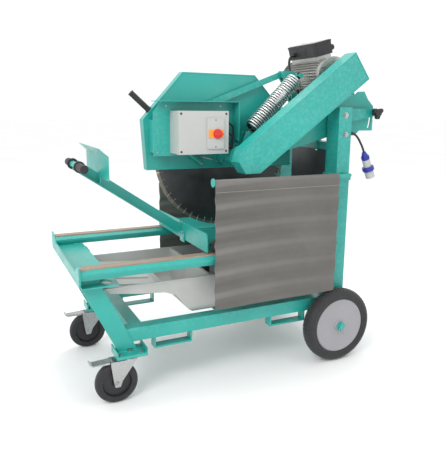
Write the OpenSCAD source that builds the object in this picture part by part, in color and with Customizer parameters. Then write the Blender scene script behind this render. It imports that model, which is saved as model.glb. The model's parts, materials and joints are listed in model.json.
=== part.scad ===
// Masonry saw: wheeled frame, rail table with push trolley, and a tilting head
// that carries the blade, its guard, the belt drive and the motor.
// X runs from the operator's end to the rear, Y across the frame, Z up.
// The operator stands at -X. The floor is Z = 0.

/* [Table] */
// Height of the rail wear strips above the floor
table_h = 662; // [650:1:690]
// Distance between the centre lines of the two wear strips
rail_gauge = 671; // [665:1:675]
// Reach of the table in front of the blade shaft
table_front = 832; // [800:1:860]

/* [Blade] */
// Outer diameter of the blade
blade_d = 750; // [700:10:760]
// Number of diamond segments on the rim
segments = 54; // [36:2:60]
// Height of the blade shaft with the head raised
shaft_h = 1099; // [1095:1:1105]
// Thickness of the blade's steel core
blade_t = 4.4; // [3.6:0.2:5]

/* [Head] */
// Distance from the blade shaft back to the head's pivot
pivot_back = 545; // [540:1:550]
// Height of the head's pivot above the blade shaft
pivot_rise = 206; // [200:1:210]
// Height of the motor shaft above the head's pivot
motor_rise = 198; // [196:1:202]
// Tilt of the motor and its base plate
motor_tilt = 15.3; // [14:0.1:17]
// Pitch radius of the pulley on the blade shaft
big_pulley_r = 54; // [50:1:56]
// Pitch radius of the pulley on the motor shaft
small_pulley_r = 27; // [25:1:28]

/* [Frame] */
// Outer width of the base frame
frame_w = 652; // [640:2:660]
// Height of the two rear posts
post_top = 1345; // [1340:1:1350]
// Wall thickness of the square and rectangular tubes
tube_wall = 4; // [3:0.5:5]

/* [Wheels] */
// Diameter of the front castor wheels
castor_d = 200; // [190:5:200]
// Diameter of the rear wheels
rear_d = 400; // [380:10:400]

/* [Hidden] */
$fn = 48;

teal = [0.20, 0.70, 0.62];
zinc = [0.75, 0.76, 0.78];
black = [0.10, 0.10, 0.11];
grey = [0.76, 0.76, 0.75];
sheet_grey = [0.45, 0.43, 0.41];
steel = [0.55, 0.56, 0.58];
blue = [0.12, 0.15, 0.60];

eps = 0.1;
frame_y = frame_w / 2;
rail_y = rail_gauge / 2;
blade_r = blade_d / 2;
fit = 0.06;

// Shaft, pivot and motor axes, all along Y, as [x, z]
shaft = [0, shaft_h];
pivot = [pivot_back, shaft_h + pivot_rise];
motor = [pivot_back, shaft_h + pivot_rise + motor_rise];
// The link is parallel to the line from the shaft to the pivot
link_offset = [-223, 209];
link_fixed = pivot + link_offset;
link_moving = shaft + link_offset;

// Base frame
rail_z0 = 281;
rail_z1 = 346;
tube_w = 60;
post_x0 = 502;
post_x1 = 586;
post_y0 = frame_y - 104;
collar_z = 1006;
wheel_x = 510;
leg_slope = 156 / 330;
leg_top_z = 572;
leg_foot_z = 240;
tray_floor = 352;
tray_bar = 280;

// Castors
castor_x = -617;
castor_y = 325;
castor_r = castor_d / 2;
castor_trail = 67;
castor_axle_x = castor_x - castor_trail;
castor_crown_z = 205;

// Rear wheels
rear_r = rear_d / 2;
wheel_out_y = 419;
wheel_in_y = 343;
axle_r = 15;
disc_r = 146;
pin_y = 431.5;

// Head, across the machine
guard_y = 26;
arm_near_y = -213;
arm_far_y = -95;
cover_y = -345;
cover_back_y = -262;
spring_y = -134;
spring_low = [93, shaft_h + 129];
spring_high = [362, shaft_h + 393];
spring_r = 44;
lock_stud = [796, pivot[1] + 13];

// Curtains
curtain_y = 382;
curtain_x0 = -219;
curtain_x1 = 471;
curtain_z0 = 394;
curtain_z1 = 399;
rod_z = 1004;

// Power cord: a short pigtail that leaves its gland towards the rear and hangs down
cord_d = 11;
cord_y = -300;
cord_route = [[606, 1212], [615, 1211], [624, 1208], [632, 1204], [640, 1198], [647, 1191],
              [654, 1183], [660, 1175], [666, 1166], [672, 1157], [678, 1148], [683, 1139],
              [688, 1130], [692, 1121], [696, 1111]];
plug_tilt = 22;

// ---------- helpers ----------

// Box from its two corners
module slab(a, b) {
    translate(a) cube(b - a);
}

// Outline in X and Z, spread along Y
module plate_y(points, y0, y1) {
    translate([0, y1, 0]) rotate([90, 0, 0]) linear_extrude(y1 - y0) polygon(points);
}

// Outline in Y and Z, spread along X
module plate_x(points, x0, x1) {
    translate([x0, 0, 0]) rotate([90, 0, 90]) linear_extrude(x1 - x0) polygon(points);
}

// Round bar along Y through an [x, z] axis
module rod_y(axis, r, y0, y1) {
    translate([axis[0], y1, axis[1]]) rotate([90, 0, 0]) cylinder(r = r, h = y1 - y0);
}

// Hexagon head or nut along Y
module hex_y(axis, r, y0, y1) {
    translate([axis[0], y1, axis[1]]) rotate([90, 0, 0]) cylinder(r = r, h = y1 - y0, $fn = 6);
}

// Plain ring along Y
module ring_y(axis, r, bore, y0, y1) {
    difference() {
        rod_y(axis, r, y0, y1);
        rod_y(axis, bore, y0 - 1, y1 + 1);
    }
}

module both_sides() {
    children();
    mirror([0, 1, 0]) children();
}

// Places a child drawn at +Y on the near side
module near() {
    mirror([0, 1, 0]) children();
}

// Slab turned about Y, given by its centre [x, z], length, thickness and Y span
module turned_slab(centre, tilt, length, thickness, y0, y1) {
    translate([centre[0], y0, centre[1]]) rotate([0, -tilt, 0])
        translate([-length / 2, 0, -thickness / 2]) cube([length, y1 - y0, thickness]);
}

function arc(c, r, a0, a1, n) =
    [for (i = [0:n]) c + r * [cos(a0 + (a1 - a0) * i / n), sin(a0 + (a1 - a0) * i / n)]];

// Outline of a belt run round two pulleys, a larger and a smaller
function belt_outline(a, ra, b, rb) =
    let (d = norm(b - a), dir = atan2(b[1] - a[1], b[0] - a[0]), wrap = acos((ra - rb) / d))
    concat(arc(a, ra, dir + wrap, dir + 360 - wrap, 20), arc(b, rb, dir - wrap, dir + wrap, 12));

function unit(v) = v / norm(v);
function left_normal(v) = [-v[1], v[0]];

// Moves every side of a clockwise or counter-clockwise convex outline inwards by t
function inset(points, t) =
    let (n = len(points))
    [for (i = [0:n - 1])
        let (p = points[i],
             before = unit(p - points[(i + n - 1) % n]),
             after = unit(points[(i + 1) % n] - p),
             bisector = unit(left_normal(before) + left_normal(after)),
             reach = t / (bisector * left_normal(after)))
        p + reach * bisector];

// ---------- base ----------

function leg_x(z, edge) = edge - leg_slope * (z - leg_foot_z);
leg_front = -669;
leg_back = -580;

module side_rail() {
    outline = [[leg_x(rail_z0, leg_back), rail_z0], [post_x1, rail_z0],
               [post_x1, rail_z1], [leg_x(rail_z1, leg_back), rail_z1]];
    difference() {
        plate_y(outline, frame_y - tube_w, frame_y);
        plate_y([[leg_x(rail_z0 + tube_wall, leg_back) + 9, rail_z0 + tube_wall],
                 [post_x1 + 1, rail_z0 + tube_wall], [post_x1 + 1, rail_z1 - tube_wall],
                 [leg_x(rail_z1 - tube_wall, leg_back) + 9, rail_z1 - tube_wall]],
                frame_y - tube_w + tube_wall, frame_y - tube_wall);
    }
}

// Flat bar bent to a U under the side rail, for slings and forks
module lift_bracket(x0, x1) {
    bar = 8;
    low = 225;
    slab([x0, frame_y - 55, low], [x1, frame_y - 5, low + bar]);
    for (x = [x0, x1 - bar]) slab([x, frame_y - 55, low], [x + bar, frame_y - 5, rail_z0]);
}

module axle_bracket() {
    difference() {
        plate_y([[wheel_x - 45, rail_z0], [wheel_x - 28, 182], [wheel_x + 28, 182],
                 [wheel_x + 45, rail_z0]], 290, 300);
        rod_y([wheel_x, rear_r], axle_r, 280, 310);
    }
}

module base_frame() color(teal) {
    both_sides() {
        side_rail();
        lift_bracket(-496, -304);
        lift_bracket(132, 345);
        axle_bracket();
    }
    inner = frame_y - tube_w;
    slab([-606, -inner, rail_z0], [-542, inner, rail_z1 - 1]);
    slab([post_x0, -inner, rail_z0], [post_x1, inner, rail_z1]);
    // flat bars that the tray stands on
    for (x = [-165, 330]) slab([x, -tray_bar, rail_z1], [x + 40, tray_bar, tray_floor]);
}

module front_leg() {
    y0 = frame_y - tube_w;
    outline = [[leg_x(leg_foot_z, leg_front), leg_foot_z], [leg_x(leg_foot_z, leg_back), leg_foot_z],
               [leg_x(leg_top_z, leg_back), leg_top_z], [leg_x(leg_top_z, leg_front), leg_top_z]];
    difference() {
        plate_y(outline, y0, frame_y);
        plate_y(inset(outline, tube_wall), y0 + tube_wall, frame_y - tube_wall);
    }
    // shelf plate with the round lifting eye
    difference() {
        slab([-826, 262, leg_top_z], [-662, 366, leg_top_z + 6]);
        translate([-708, 309, leg_top_z - 1]) cylinder(r = 24, h = 10);
    }
    slab([-822, 301.4, leg_top_z + 6], [-738, 322, table_h - 50]);
    // castor mounting plate with turned-up edges
    difference() {
        slab([-689, castor_y - 55, 226], [-546, castor_y + 55, leg_foot_z]);
        translate([castor_x, castor_y, 220]) cylinder(r = 12.5, h = 30);
    }
    for (x = [-689, -552]) slab([x, castor_y - 55, leg_foot_z], [x + 6, castor_y + 55, 262]);
}

module front_legs() color(teal) difference() {
    both_sides() front_leg();
    both_sides() translate([castor_x, castor_y, 200]) cylinder(r = 12.5, h = 50);
}

module post_tube(x0, x1, y0, y1, z0, z1) {
    difference() {
        slab([x0, y0, z0], [x1, y1, z1]);
        slab([x0 + tube_wall, y0 + tube_wall, z0 - 1], [x1 - tube_wall, y1 - tube_wall, z1 + 1]);
    }
}

module lower_posts() color(teal) both_sides() {
    post_tube(post_x0, post_x1, post_y0, frame_y, rail_z1, collar_z);
    difference() {
        slab([post_x0 - 6, post_y0 - 6, collar_z - 34], [post_x1 + 6, frame_y + 6, collar_z]);
        slab([post_x0 + 1, post_y0 + 1, collar_z - 40], [post_x1 - 1, frame_y - 1, collar_z + 1]);
    }
}

upper_x0 = post_x0 + 2;
upper_x1 = post_x1 - 2;
upper_y0 = post_y0 + 2;
upper_y1 = frame_y - 2;
stop_bolt = [551, 1208];

module upper_posts() color(teal) both_sides() difference() {
    union() {
        post_tube(upper_x0, upper_x1, upper_y0, upper_y1, collar_z, post_top - 5);
        slab([upper_x0, upper_y0, post_top - 5], [upper_x1, upper_y1, post_top]);
    }
    rod_y(pivot, 15, upper_y0 - 5, upper_y1 + 5);
    rod_y(stop_bolt, 8, upper_y0 - 5, upper_y1 + 5);
}

module pivot_shaft() color(zinc) {
    rod_y(pivot, 15, -upper_y1 - 1, upper_y1 + 1);
    for (s = [-1, 1]) rod_y(pivot, 15.5, s * (upper_y1 + 1) - 1, s * (upper_y1 + 1) + 1);
    for (s = [-1, 1]) hex_y(pivot, 11.5, s * (upper_y1 + 5) - 4, s * (upper_y1 + 5) + 4);
}

module rear_beam() color(teal) {
    difference() {
        slab([508, -upper_y0, 1122], [578, upper_y0, 1165]);
        slab([512, -upper_y0 - 1, 1126], [574, upper_y0 + 1, 1161]);
    }
    // tapered stop tab for the lowered arm
    plate_x([[-146, 1178], [-122, 1178], [-128, 1119], [-140, 1119]], 500.5, 508);
}

module rear_flap() color(black) {
    slab([501, -215.5, 700], [507.5, -150, 1124]);
    // wider above and below the collar of the post
    slab([501, -221.9, 700], [507.5, -215.5, collar_z - 34.5]);
    slab([501, -221.9, collar_z + 0.5], [507.5, -215.5, 1124]);
    slab([501, -150, 700], [507.5, -118, 1117]);
    slab([501, -118, 700], [507.5, 100, 1124]);
}

module rear_axle() color(teal) {
    difference() {
        rod_y([wheel_x, rear_r], axle_r, -436, 436);
        both_sides() translate([wheel_x, pin_y, rear_r - 30]) cylinder(r = 2.5, h = 60);
    }
    for (s = [-1, 1]) ring_y([wheel_x, rear_r], 24, axle_r - eps, s * 424 - 4, s * 424 + 4);
}

// ---------- table ----------

rail_half = 40.5;
strip_w = 50;
strip_t = 6;
rail_top = table_h - strip_t;
rail_low = table_h - 50;

// Folded rail section with sloped shoulders and undercut feet, centred on the wear strip
module rail_section(y, x0, x1) {
    shoulder = 14;
    foot = 10;
    outline = [[y - rail_half + foot, rail_low], [y + rail_half - foot, rail_low],
               [y + rail_half, rail_low + 20],
               [y + rail_half, rail_top - shoulder], [y + rail_half - shoulder, rail_top],
               [y - rail_half + shoulder, rail_top], [y - rail_half, rail_top - shoulder],
               [y - rail_half, rail_low + 20]];
    difference() {
        plate_x(outline, x0, x1);
        plate_x(inset(outline, tube_wall), x0 - 1, x1 + 1);
    }
}

module table_frame() color(teal) {
    x0 = -table_front;
    y = rail_y;
    rail_section(y, x0, post_x0);
    rail_section(-y, x0, post_x0);
    // end plate with a raised ear at each rail
    ear = table_h + 12;
    plate_x([[-382, 600], [-368, 586], [368, 586], [382, 600], [382, ear], [352, ear],
             [290, 636], [-290, 636], [-352, ear], [-382, ear]], x0 - 8, x0);
    // spray pan welded under the rails' inner edges
    pan_y = y - rail_half + 6;
    slab([x0 - 1, -pan_y, rail_low - 4], [x0 + 140, pan_y, rail_low + 0.5]);
}

strip_screw_x = [-818, -790, 440, 468];

module wear_strips() color([0.59, 0.49, 0.43]) both_sides() difference() {
    slab([-table_front + 2, rail_y - strip_w / 2, rail_top],
         [post_x0 - 6, rail_y + strip_w / 2, table_h]);
    for (x = strip_screw_x) translate([x, rail_y, table_h - 3]) cylinder(r = 6, h = 5);
}

// ---------- water ----------

tray_top = 540;
tray_half = 290;
tray_wall = 5;

// Long section and cross-section of the tray, t inside its outer skin
function tray_long(t) = [[-706 + t, tray_top + t], [-690 + t, 513 + t], [-563 + t, 494 + t],
                         [-429 + t, 481 + t], [-373 + t, 460 + t], [-335 + t, 412 + t],
                         [-303 + t, 373 + t], [-274 + t, tray_floor + t],
                         [432 - t, tray_floor + t], [446 - t, tray_top + t]];
function tray_cross(t) = [[-tray_half + t, tray_top + t], [t - 281, 384 + t], [t - 276, 368 + t],
                          [t - 264, 357 + t], [t - 248, tray_floor + t], [248 - t, tray_floor + t],
                          [264 - t, 357 + t], [276 - t, 368 + t], [281 - t, 384 + t],
                          [tray_half - t, tray_top + t]];

module tray_form(t) intersection() {
    plate_y(tray_long(t), -tray_half - 5, tray_half + 5);
    plate_x(tray_cross(t), -715, 455);
}

module water_tray() color([0.74, 0.73, 0.71]) {
    difference() {
        union() {
            tray_form(0);
            slab([-716, -tray_half - 8, tray_top - 6], [456, tray_half + 8, tray_top]);
        }
        tray_form(tray_wall);
    }
    // cross rib at the edge of the deep well, and ribs moulded in the shallow floor
    intersection() {
        plate_x(tray_cross(tray_wall / 2), -200, -186);
        slab([-210, -tray_half, tray_floor], [-170, tray_half, tray_top - 1]);
    }
    for (y = [-180, -60, 60, 180])
        plate_y([[-660, 510], [-440, 484], [-440, 496], [-650, 521]], y - 5, y + 5);
}

module water_pump() color(black) {
    translate([-60, 120, tray_floor + tray_wall]) {
        cylinder(r = 48, h = 16);
        translate([0, 0, 16]) cylinder(r = 40, h = 80);
        translate([0, 0, 96]) cylinder(r = 9, h = 26);
    }
}

// ---------- curtains ----------

module curtain_rods() color(teal) both_sides() {
    rod_r = 10;
    translate([curtain_x0 - 4, curtain_y, rod_z]) rotate([0, 90, 0])
        cylinder(r = rod_r, h = 544 - curtain_x0 + 4);
    translate([curtain_x0 - 8, curtain_y, rod_z]) rotate([0, 90, 0]) cylinder(r = 20, h = 5);
    translate([544, curtain_y, rod_z]) sphere(r = rod_r);
    rod_y([544, rod_z], rod_r, frame_y + 6, curtain_y);
}

// Hanging sheet with a sewn sleeve round its rod
module curtain() {
    difference() {
        union() {
            translate([curtain_x0, curtain_y, rod_z]) rotate([0, 90, 0])
                cylinder(r = 14, h = curtain_x1 - curtain_x0);
            plate_y([[curtain_x0, curtain_z0], [curtain_x1, curtain_z1], [curtain_x1, rod_z - 8],
                     [curtain_x0, rod_z - 8]], curtain_y - 4, curtain_y + 4);
        }
        translate([curtain_x0 - 1, curtain_y, rod_z]) rotate([0, 90, 0])
            cylinder(r = 10.3, h = curtain_x1 - curtain_x0 + 2);
    }
}

module curtain_near() color(sheet_grey) near() curtain();
module curtain_far() color(sheet_grey) curtain();

// ---------- power cord ----------

function ring_at(i, r, sides) =
    let (n = len(cord_route),
         a = cord_route[max(i - 1, 0)],
         b = cord_route[min(i + 1, n - 1)],
         along = i == 0 ? [1, 0] : unit(b - a),
         up = left_normal(along),
         p = cord_route[i])
    [for (k = [0:sides - 1])
        let (s = r * cos(360 * k / sides), t = r * sin(360 * k / sides))
        [p[0] + up[0] * s, cord_y + t, p[1] + up[1] * s]];

module power_cord() color(black) {
    sides = 10;
    n = len(cord_route);
    points = [for (i = [0:n - 1]) each ring_at(i, cord_d / 2, sides)];
    walls = [for (i = [0:n - 2], k = [0:sides - 1])
                [i * sides + k, (i + 1) * sides + k,
                 (i + 1) * sides + (k + 1) % sides, i * sides + (k + 1) % sides]];
    ends = [[for (k = [0:sides - 1]) k],
            [for (k = [sides - 1:-1:0]) (n - 1) * sides + k]];
    polyhedron(points = points, faces = concat(walls, ends), convexity = 4);
}

module cord_gland() color(black) {
    translate([upper_x1, cord_y, 1212]) rotate([0, 90, 0]) {
        cylinder(r = 13, h = 8, $fn = 6);
        translate([0, 0, 8]) cylinder(r = 10.5, h = 7);
        translate([0, 0, 15]) cylinder(r = 9, h = 7);
    }
}

// Children run down the plug's axis from the cord's end
module on_plug() {
    tip = cord_route[len(cord_route) - 1];
    translate([tip[0], cord_y, tip[1]]) rotate([0, 180 - plug_tilt, 0]) children();
}

module plug_body() color(grey) on_plug() {
    translate([0, 0, 42]) cylinder(r = 21, h = 40);
    translate([0, 0, 106]) cylinder(r = 24, h = 40);
}

module plug_ring() color(blue) on_plug() {
    rotate_extrude() polygon([[0, 0], [11, 0], [14, 10], [19, 20], [21, 42], [0, 42]]);
    translate([0, 0, 82]) cylinder(r = 31, h = 24);
}

// ---------- castors and rear wheels ----------

module castor_fork() {
    axle = [castor_axle_x, castor_r];
    difference() {
        union() {
            translate([castor_x, castor_y, castor_crown_z]) cylinder(r = 37, h = 9);
            translate([castor_x, castor_y, castor_crown_z + 9]) cylinder(r = 32, h = 11.7);
            translate([castor_x, castor_y, castor_crown_z + 20]) cylinder(r = 12.44, h = 24);
            slab([-712, castor_y - 32, castor_crown_z], [castor_x, castor_y + 32, castor_crown_z + 5]);
            for (y = [castor_y - 32, castor_y + 27])
                plate_y([[-592, 210], [-712, 210], [-712, 192], [-702, 112], [-696, 84],
                         [-672, 84], [-662, 112], [-604, 190]], y, y + 5);
            rod_y(axle, 8, castor_y - 36, castor_y + 36);
            hex_y(axle, 12, castor_y - 40, castor_y - 32);
            hex_y(axle, 12, castor_y + 32, castor_y + 40);
        }
        slab([-713, castor_y - 20, 195], [-694, castor_y + 20, 215]);
    }
}

module castor_fork_near() color(zinc) near() castor_fork();
module castor_fork_far() color(zinc) castor_fork();

module castor_tyre() {
    translate([castor_axle_x, castor_y, castor_r]) rotate([90, 0, 0]) rotate_extrude()
        polygon([[74, -20], [90, -20], [97, -15], [castor_r, -8], [castor_r, 8], [97, 15],
                 [90, 20], [74, 20]]);
}

module castor_tyre_near() color(black) near() castor_tyre();
module castor_tyre_far() color(black) castor_tyre();

module castor_hub() {
    translate([castor_axle_x, castor_y, castor_r]) rotate([90, 0, 0]) rotate_extrude()
        polygon([[8 + fit, -24], [20, -24], [24, -10], [64, -8], [68, -19], [74, -19],
                 [74, 19], [68, 19], [64, 8], [24, 10], [20, 24], [8 + fit, 24]]);
}

module castor_hub_near() color(black) near() castor_hub();
module castor_hub_far() color(black) castor_hub();

pedal_pin = [-703, 205];

module brake_pedal() {
    plate_y([[-697, 209], [-716, 209], [-716, 201], [-697, 201]], castor_y - 17, castor_y + 17);
    plate_y([[-715, 210], [-790, 206], [-803, 216], [-807, 213], [-793, 201], [-715, 200]],
            castor_y - 25, castor_y + 25);
    rod_y(pedal_pin, 5, castor_y - 19.5, castor_y + 19.5);
}

module brake_pedal_near() color(zinc) near() brake_pedal();
module brake_pedal_far() color(zinc) brake_pedal();

module rear_tyre() {
    mid = (wheel_out_y + wheel_in_y) / 2;
    half = (wheel_out_y - wheel_in_y) / 2;
    translate([wheel_x, mid, rear_r]) rotate([90, 0, 0]) rotate_extrude($fn = 96)
        polygon([[disc_r, -half + 8], [disc_r + 9, -half + 2], [175, -half], [190, -half + 6],
                 [rear_r - 2, -half + 18], [rear_r, -12], [rear_r, 12], [rear_r - 2, half - 18],
                 [190, half - 6], [175, half], [disc_r + 9, half - 2], [disc_r, half - 8]]);
}

module rear_tyre_near() color(black) near() rear_tyre();
module rear_tyre_far() color(black) rear_tyre();

module rear_disc() {
    mid = (wheel_out_y + wheel_in_y) / 2;
    half = (wheel_out_y - wheel_in_y) / 2;
    translate([wheel_x, mid, rear_r]) rotate([90, 0, 0]) rotate_extrude($fn = 96)
        polygon([[axle_r + fit, -half], [28, -half], [34, -half + 9], [disc_r - 12, -half + 5],
                 [disc_r, -half + 8], [disc_r, half - 8], [disc_r - 12, half - 5],
                 [34, half - 9], [28, half], [axle_r + fit, half]]);
}

module rear_disc_near() color([0.66, 0.65, 0.66]) near() rear_disc();
module rear_disc_far() color([0.66, 0.65, 0.66]) rear_disc();

// ---------- fixed head supports ----------

lug_y = -236;

module head_bracket() color(teal) {
    difference() {
        union() {
            // twin plates that rise from the beam to the link and spring anchors
            for (y = [-85, -44]) mast_plate(y, y + 10);
            rod_y([350, 1470], 8, -76, -43);
            rod_y([470, 1235], 8, -76, -43);
            rod_y(link_fixed, 8, -84, -35);
            rod_y(spring_anchor, 7, -158, -76);
            rod_y(spring_anchor, 12, -160, -154);
            // lug behind the near post for the locking stud
            plate_y([[upper_x1, lock_stud[1] - 60], [lock_stud[0], lock_stud[1] - 20],
                     [lock_stud[0] + 14, lock_stud[1] - 14], [lock_stud[0] + 18, lock_stud[1]],
                     [lock_stud[0] + 14, lock_stud[1] + 14], [lock_stud[0], lock_stud[1] + 20],
                     [upper_x1, lock_stud[1] + 22]], lug_y - 5, lug_y + 5);
        }
        rod_y(lock_stud, 6 + fit, lug_y - 10, lug_y + 10);
    }
}

spring_anchor = [373, shaft_h + 404];

module mast_plate(y0, y1) {
    plate_y([[500, 1165], [572, 1165], [505, 1235], [470, 1270], [430, 1345], [388, 1440],
             [386, 1522], [378, 1530], [312, 1530], [304, 1522], [304, 1506], [350, 1440],
             [395, 1330], [428, 1240], [466, 1192]], y0, y1);
}

// ---------- head arm ----------

arm_t = 8;
plate_half = 115;
plate_drop = 118;
tilt_normal = [-sin(motor_tilt), cos(motor_tilt)];
tilt_along = [cos(motor_tilt), sin(motor_tilt)];
motor_plate_mid = motor - plate_drop * tilt_normal;
plate_front = motor_plate_mid - (plate_half - 2) * tilt_along - 6 * tilt_normal;
plate_rear = motor_plate_mid + (plate_half - 2) * tilt_along - 6 * tilt_normal;
hook_pin = [74, shaft_h + 110];

function arm_low() = [[0, shaft_h - 42], [585, 1207], [612, 1240]];
function arm_top() = [[440, 1317], [120, shaft_h + 92], [0, shaft_h + 50]];

module arm_plate(points, y0) {
    plate_y(points, y0, y0 + arm_t);
    rod_y(shaft, 56, y0, y0 + arm_t);
}

module arm() color(teal) difference() {
    union() {
        // far plate, and near plate with its tail and locking sector
        arm_plate(concat(arm_low(), [[640, 1320], plate_rear, plate_front], arm_top()),
                  arm_far_y - arm_t);
        arm_plate(concat([[0, shaft_h - 42], [585, 1207], [640, 1192], [700, 1199], [725, 1222],
                          [lock_stud[0] + 19, 1222], [lock_stud[0] + 18, 1352], [775, 1388],
                          [748, 1430], [706, 1428], plate_rear, plate_front], arm_top()),
                  arm_near_y);
        // webs between the plates, lower and upper
        inner = [arm_near_y + arm_t, arm_far_y - arm_t];
        turned_slab([320, 1147], 15.9, 440, 6, inner[0], inner[1]);
        turned_slab([265, 1236], 20.7, 330, 6, inner[0], inner[1]);
        // motor base plate and its far gusset
        turned_slab(motor_plate_mid, motor_tilt, 2 * plate_half, 12, arm_near_y + 10, 80);
        plate_y([[530, 1325], [572, 1325], [610, 1395], [492, 1363]], 44, 52);
        // pivot tube
        rod_y(pivot, 32, -218, 218);
        // ears and pin for the lower spring hook
        for (y = [-158, -110]) plate_y([[30, 1140], [90, 1165], [86, 1222], [62, 1222]], y, y + 8);
        rod_y(hook_pin, 6, -152, -106);
        // spacers that carry the belt guard
        for (p = [[150, 1166], [400, 1278]]) rod_y(p, 10, cover_back_y + 4, arm_near_y + 1);
    }
    rod_y(pivot, 15 + fit, -230, 230);
    rod_y(shaft, 44, -230, -60);
    lock_slot();
}

// Slot on an arc about the pivot, so the stud stays in it as the head comes down
module lock_slot() {
    reach = norm(lock_stud - pivot);
    start = atan2(lock_stud[1] - pivot[1], lock_stud[0] - pivot[0]);
    sweep = 19;
    translate([pivot[0], arm_near_y - 1, pivot[1]]) rotate([0, -start - 2, 0]) rotate([-90, 0, 0])
        rotate_extrude(angle = sweep + 2) translate([reach - 7, 0]) square([14, arm_t + 2]);
    rod_y(lock_stud, 7, arm_near_y - 1, arm_near_y + arm_t + 1);
}

module spindle_housing() color(teal) difference() {
    union() {
        rod_y(shaft, 44, -250, -20);
        rod_y(shaft, 48, -258, -248);
        rod_y(shaft, 54, -94.5, -84);
    }
    rod_y(shaft, 26, -260, -10);
    rod_y(shaft, 31, -252, -235);
    rod_y(shaft, 31, -70, -54);
    rod_y(shaft, 27, -260, -251);
}

module spindle_bearings() color(steel) {
    ring_y(shaft, 31, 17.5 + fit, -250.5, -235);
    ring_y(shaft, 31, 17.5 + fit, -70, -54.5);
}

// ---------- motor ----------

module at_motor() {
    translate([motor[0], 0, motor[1]]) rotate([0, -motor_tilt, 0]) children();
}

module motor_body() color([0.70, 0.70, 0.69]) at_motor() difference() {
    union() {
        translate([0, 95, 0]) rotate([90, 0, 0]) cylinder(r = 96, h = 290);
        translate([0, -195, 0]) rotate([90, 0, 0]) cylinder(r = 100, h = 16);
        translate([0, -211, 0]) rotate([90, 0, 0]) cylinder(r = 40, h = 5);
        translate([0, 150, 0]) rotate([90, 0, 0]) cylinder(r = 98, h = 57);
        for (x = [-96, 62]) translate([x, -150, -112]) cube([34, 200, 50]);
        translate([-42, -140, 80]) cube([94, 235, 33]);
    }
    translate([0, 145, 0]) rotate([90, 0, 0]) cylinder(r = 90, h = 50);
    translate([0, 160, 0]) rotate([90, 0, 0]) cylinder(r = 60, h = 20);
    translate([0, 80, 0]) rotate([90, 0, 0]) cylinder(r = 78, h = 250);
    translate([0, 100, 0]) rotate([90, 0, 0]) cylinder(r = 14 + fit, h = 330);
}

module terminal_box() color(black) at_motor() {
    translate([-48, -150, 113]) cube([106, 250, 61]);
    translate([-50, -152, 174]) cube([110, 254, 9]);
    translate([57, -120, 140]) rotate([0, 90, 0]) cylinder(r = 14, h = 30);
}

module pulley(axis, r, y0, y1) {
    n = 3;
    pitch = (y1 - y0) / (n + 0.4);
    mid = (y0 + y1) / 2;
    translate([axis[0], mid, axis[1]]) rotate([90, 0, 0]) difference() {
        cylinder(r = r + 5, h = y1 - y0, center = true);
        for (i = [-1:1]) translate([0, 0, i * pitch]) rotate_extrude()
            polygon([[r - 9, -4.5], [r + 6, -7], [r + 6, 7], [r - 9, 4.5]]);
    }
}

pulley_y = [-332, -272];

module motor_rotor() color(steel) {
    rod_y(motor, 14, pulley_y[0] - 3, 130);
    pulley(motor, small_pulley_r, pulley_y[0], pulley_y[1]);
    ring_y(motor, 72, 13, -120, 40);
    rod_y(motor, 55, 112, 128);
}

module blade_shaft() color(steel) {
    rod_y(shaft, 17.5, pulley_y[0] - 3, 22);
    rod_y(shaft, 24, -268, -262);
    pulley(shaft, big_pulley_r, pulley_y[0], pulley_y[1]);
}

module v_belts() color(black) {
    pitch = (pulley_y[1] - pulley_y[0]) / 3.4;
    mid = (pulley_y[0] + pulley_y[1]) / 2;
    for (i = [-1:1]) difference() {
        plate_y(belt_outline(shaft, big_pulley_r + 2, motor, small_pulley_r + 2),
                mid + i * pitch - 4, mid + i * pitch + 4);
        plate_y(belt_outline(shaft, big_pulley_r - 6, motor, small_pulley_r - 6),
                mid + i * pitch - 5, mid + i * pitch + 5);
    }
}

// ---------- belt guard ----------

cover_outline = [[-73, shaft_h - 13], [-39, shaft_h - 68], [41, shaft_h - 67],
                 [664, shaft_h + 388], [569, shaft_h + 514], [-53, shaft_h + 46]];

module belt_cover() color(teal) difference() {
    plate_y(cover_outline, cover_y, cover_back_y);
    plate_y(inset(cover_outline, 3), cover_y + 3, cover_back_y + 1);
}

module belt_back() color(teal) difference() {
    plate_y(cover_outline, cover_back_y, cover_back_y + 4);
    rod_y(shaft, 30, cover_back_y - 1, cover_back_y + 5);
    rod_y(motor, 40, cover_back_y - 1, cover_back_y + 5);
}

// ---------- balance spring ----------

module balance_spring() color(zinc) {
    length = norm(spring_high - spring_low);
    rise = atan2(spring_high[1] - spring_low[1], spring_high[0] - spring_low[0]);
    translate([spring_low[0], spring_y, spring_low[1]]) rotate([0, 90 - rise, 0]) {
        difference() {
            cylinder(r = spring_r, h = length);
            translate([0, 0, -1]) cylinder(r = spring_r - 10, h = length + 2);
        }
        for (z = [0, length - 6]) translate([0, 0, z]) cylinder(r = spring_r - 2, h = 6);
        translate([0, 0, -16]) cylinder(r = 4, h = 17);
        translate([0, 0, length - 1]) cylinder(r = 4, h = 7);
    }
}

// ---------- blade ----------

module saw_blade() color(steel) difference() {
    union() {
        rod_y(shaft, blade_r - 20, -blade_t / 2, blade_t / 2);
        ring_y(shaft, blade_r, blade_r - 22, -blade_t / 2 - 0.4, blade_t / 2 + 0.4);
    }
    rod_y(shaft, 17.5, -5, 5);
    for (i = [0:segments - 1]) translate([shaft[0], 0, shaft[1]]) rotate([0, 360 * i / segments, 0]) {
        translate([blade_r - 24, -4, -1.8]) cube([30, 8, 3.6]);
        translate([blade_r - 26, 4, 0]) rotate([90, 0, 0]) cylinder(r = 4, h = 8, $fn = 16);
    }
}

module blade_flanges() color(zinc) {
    ring_y(shaft, 60, 17.5, -14, -blade_t / 2);
    ring_y(shaft, 60, 17.5, blade_t / 2, 11);
    difference() {
        hex_y(shaft, 30, 11, 21);
        rod_y(shaft, 17.5, 10, 22);
    }
}

// ---------- blade guard, control box and its carrier ----------

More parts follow.
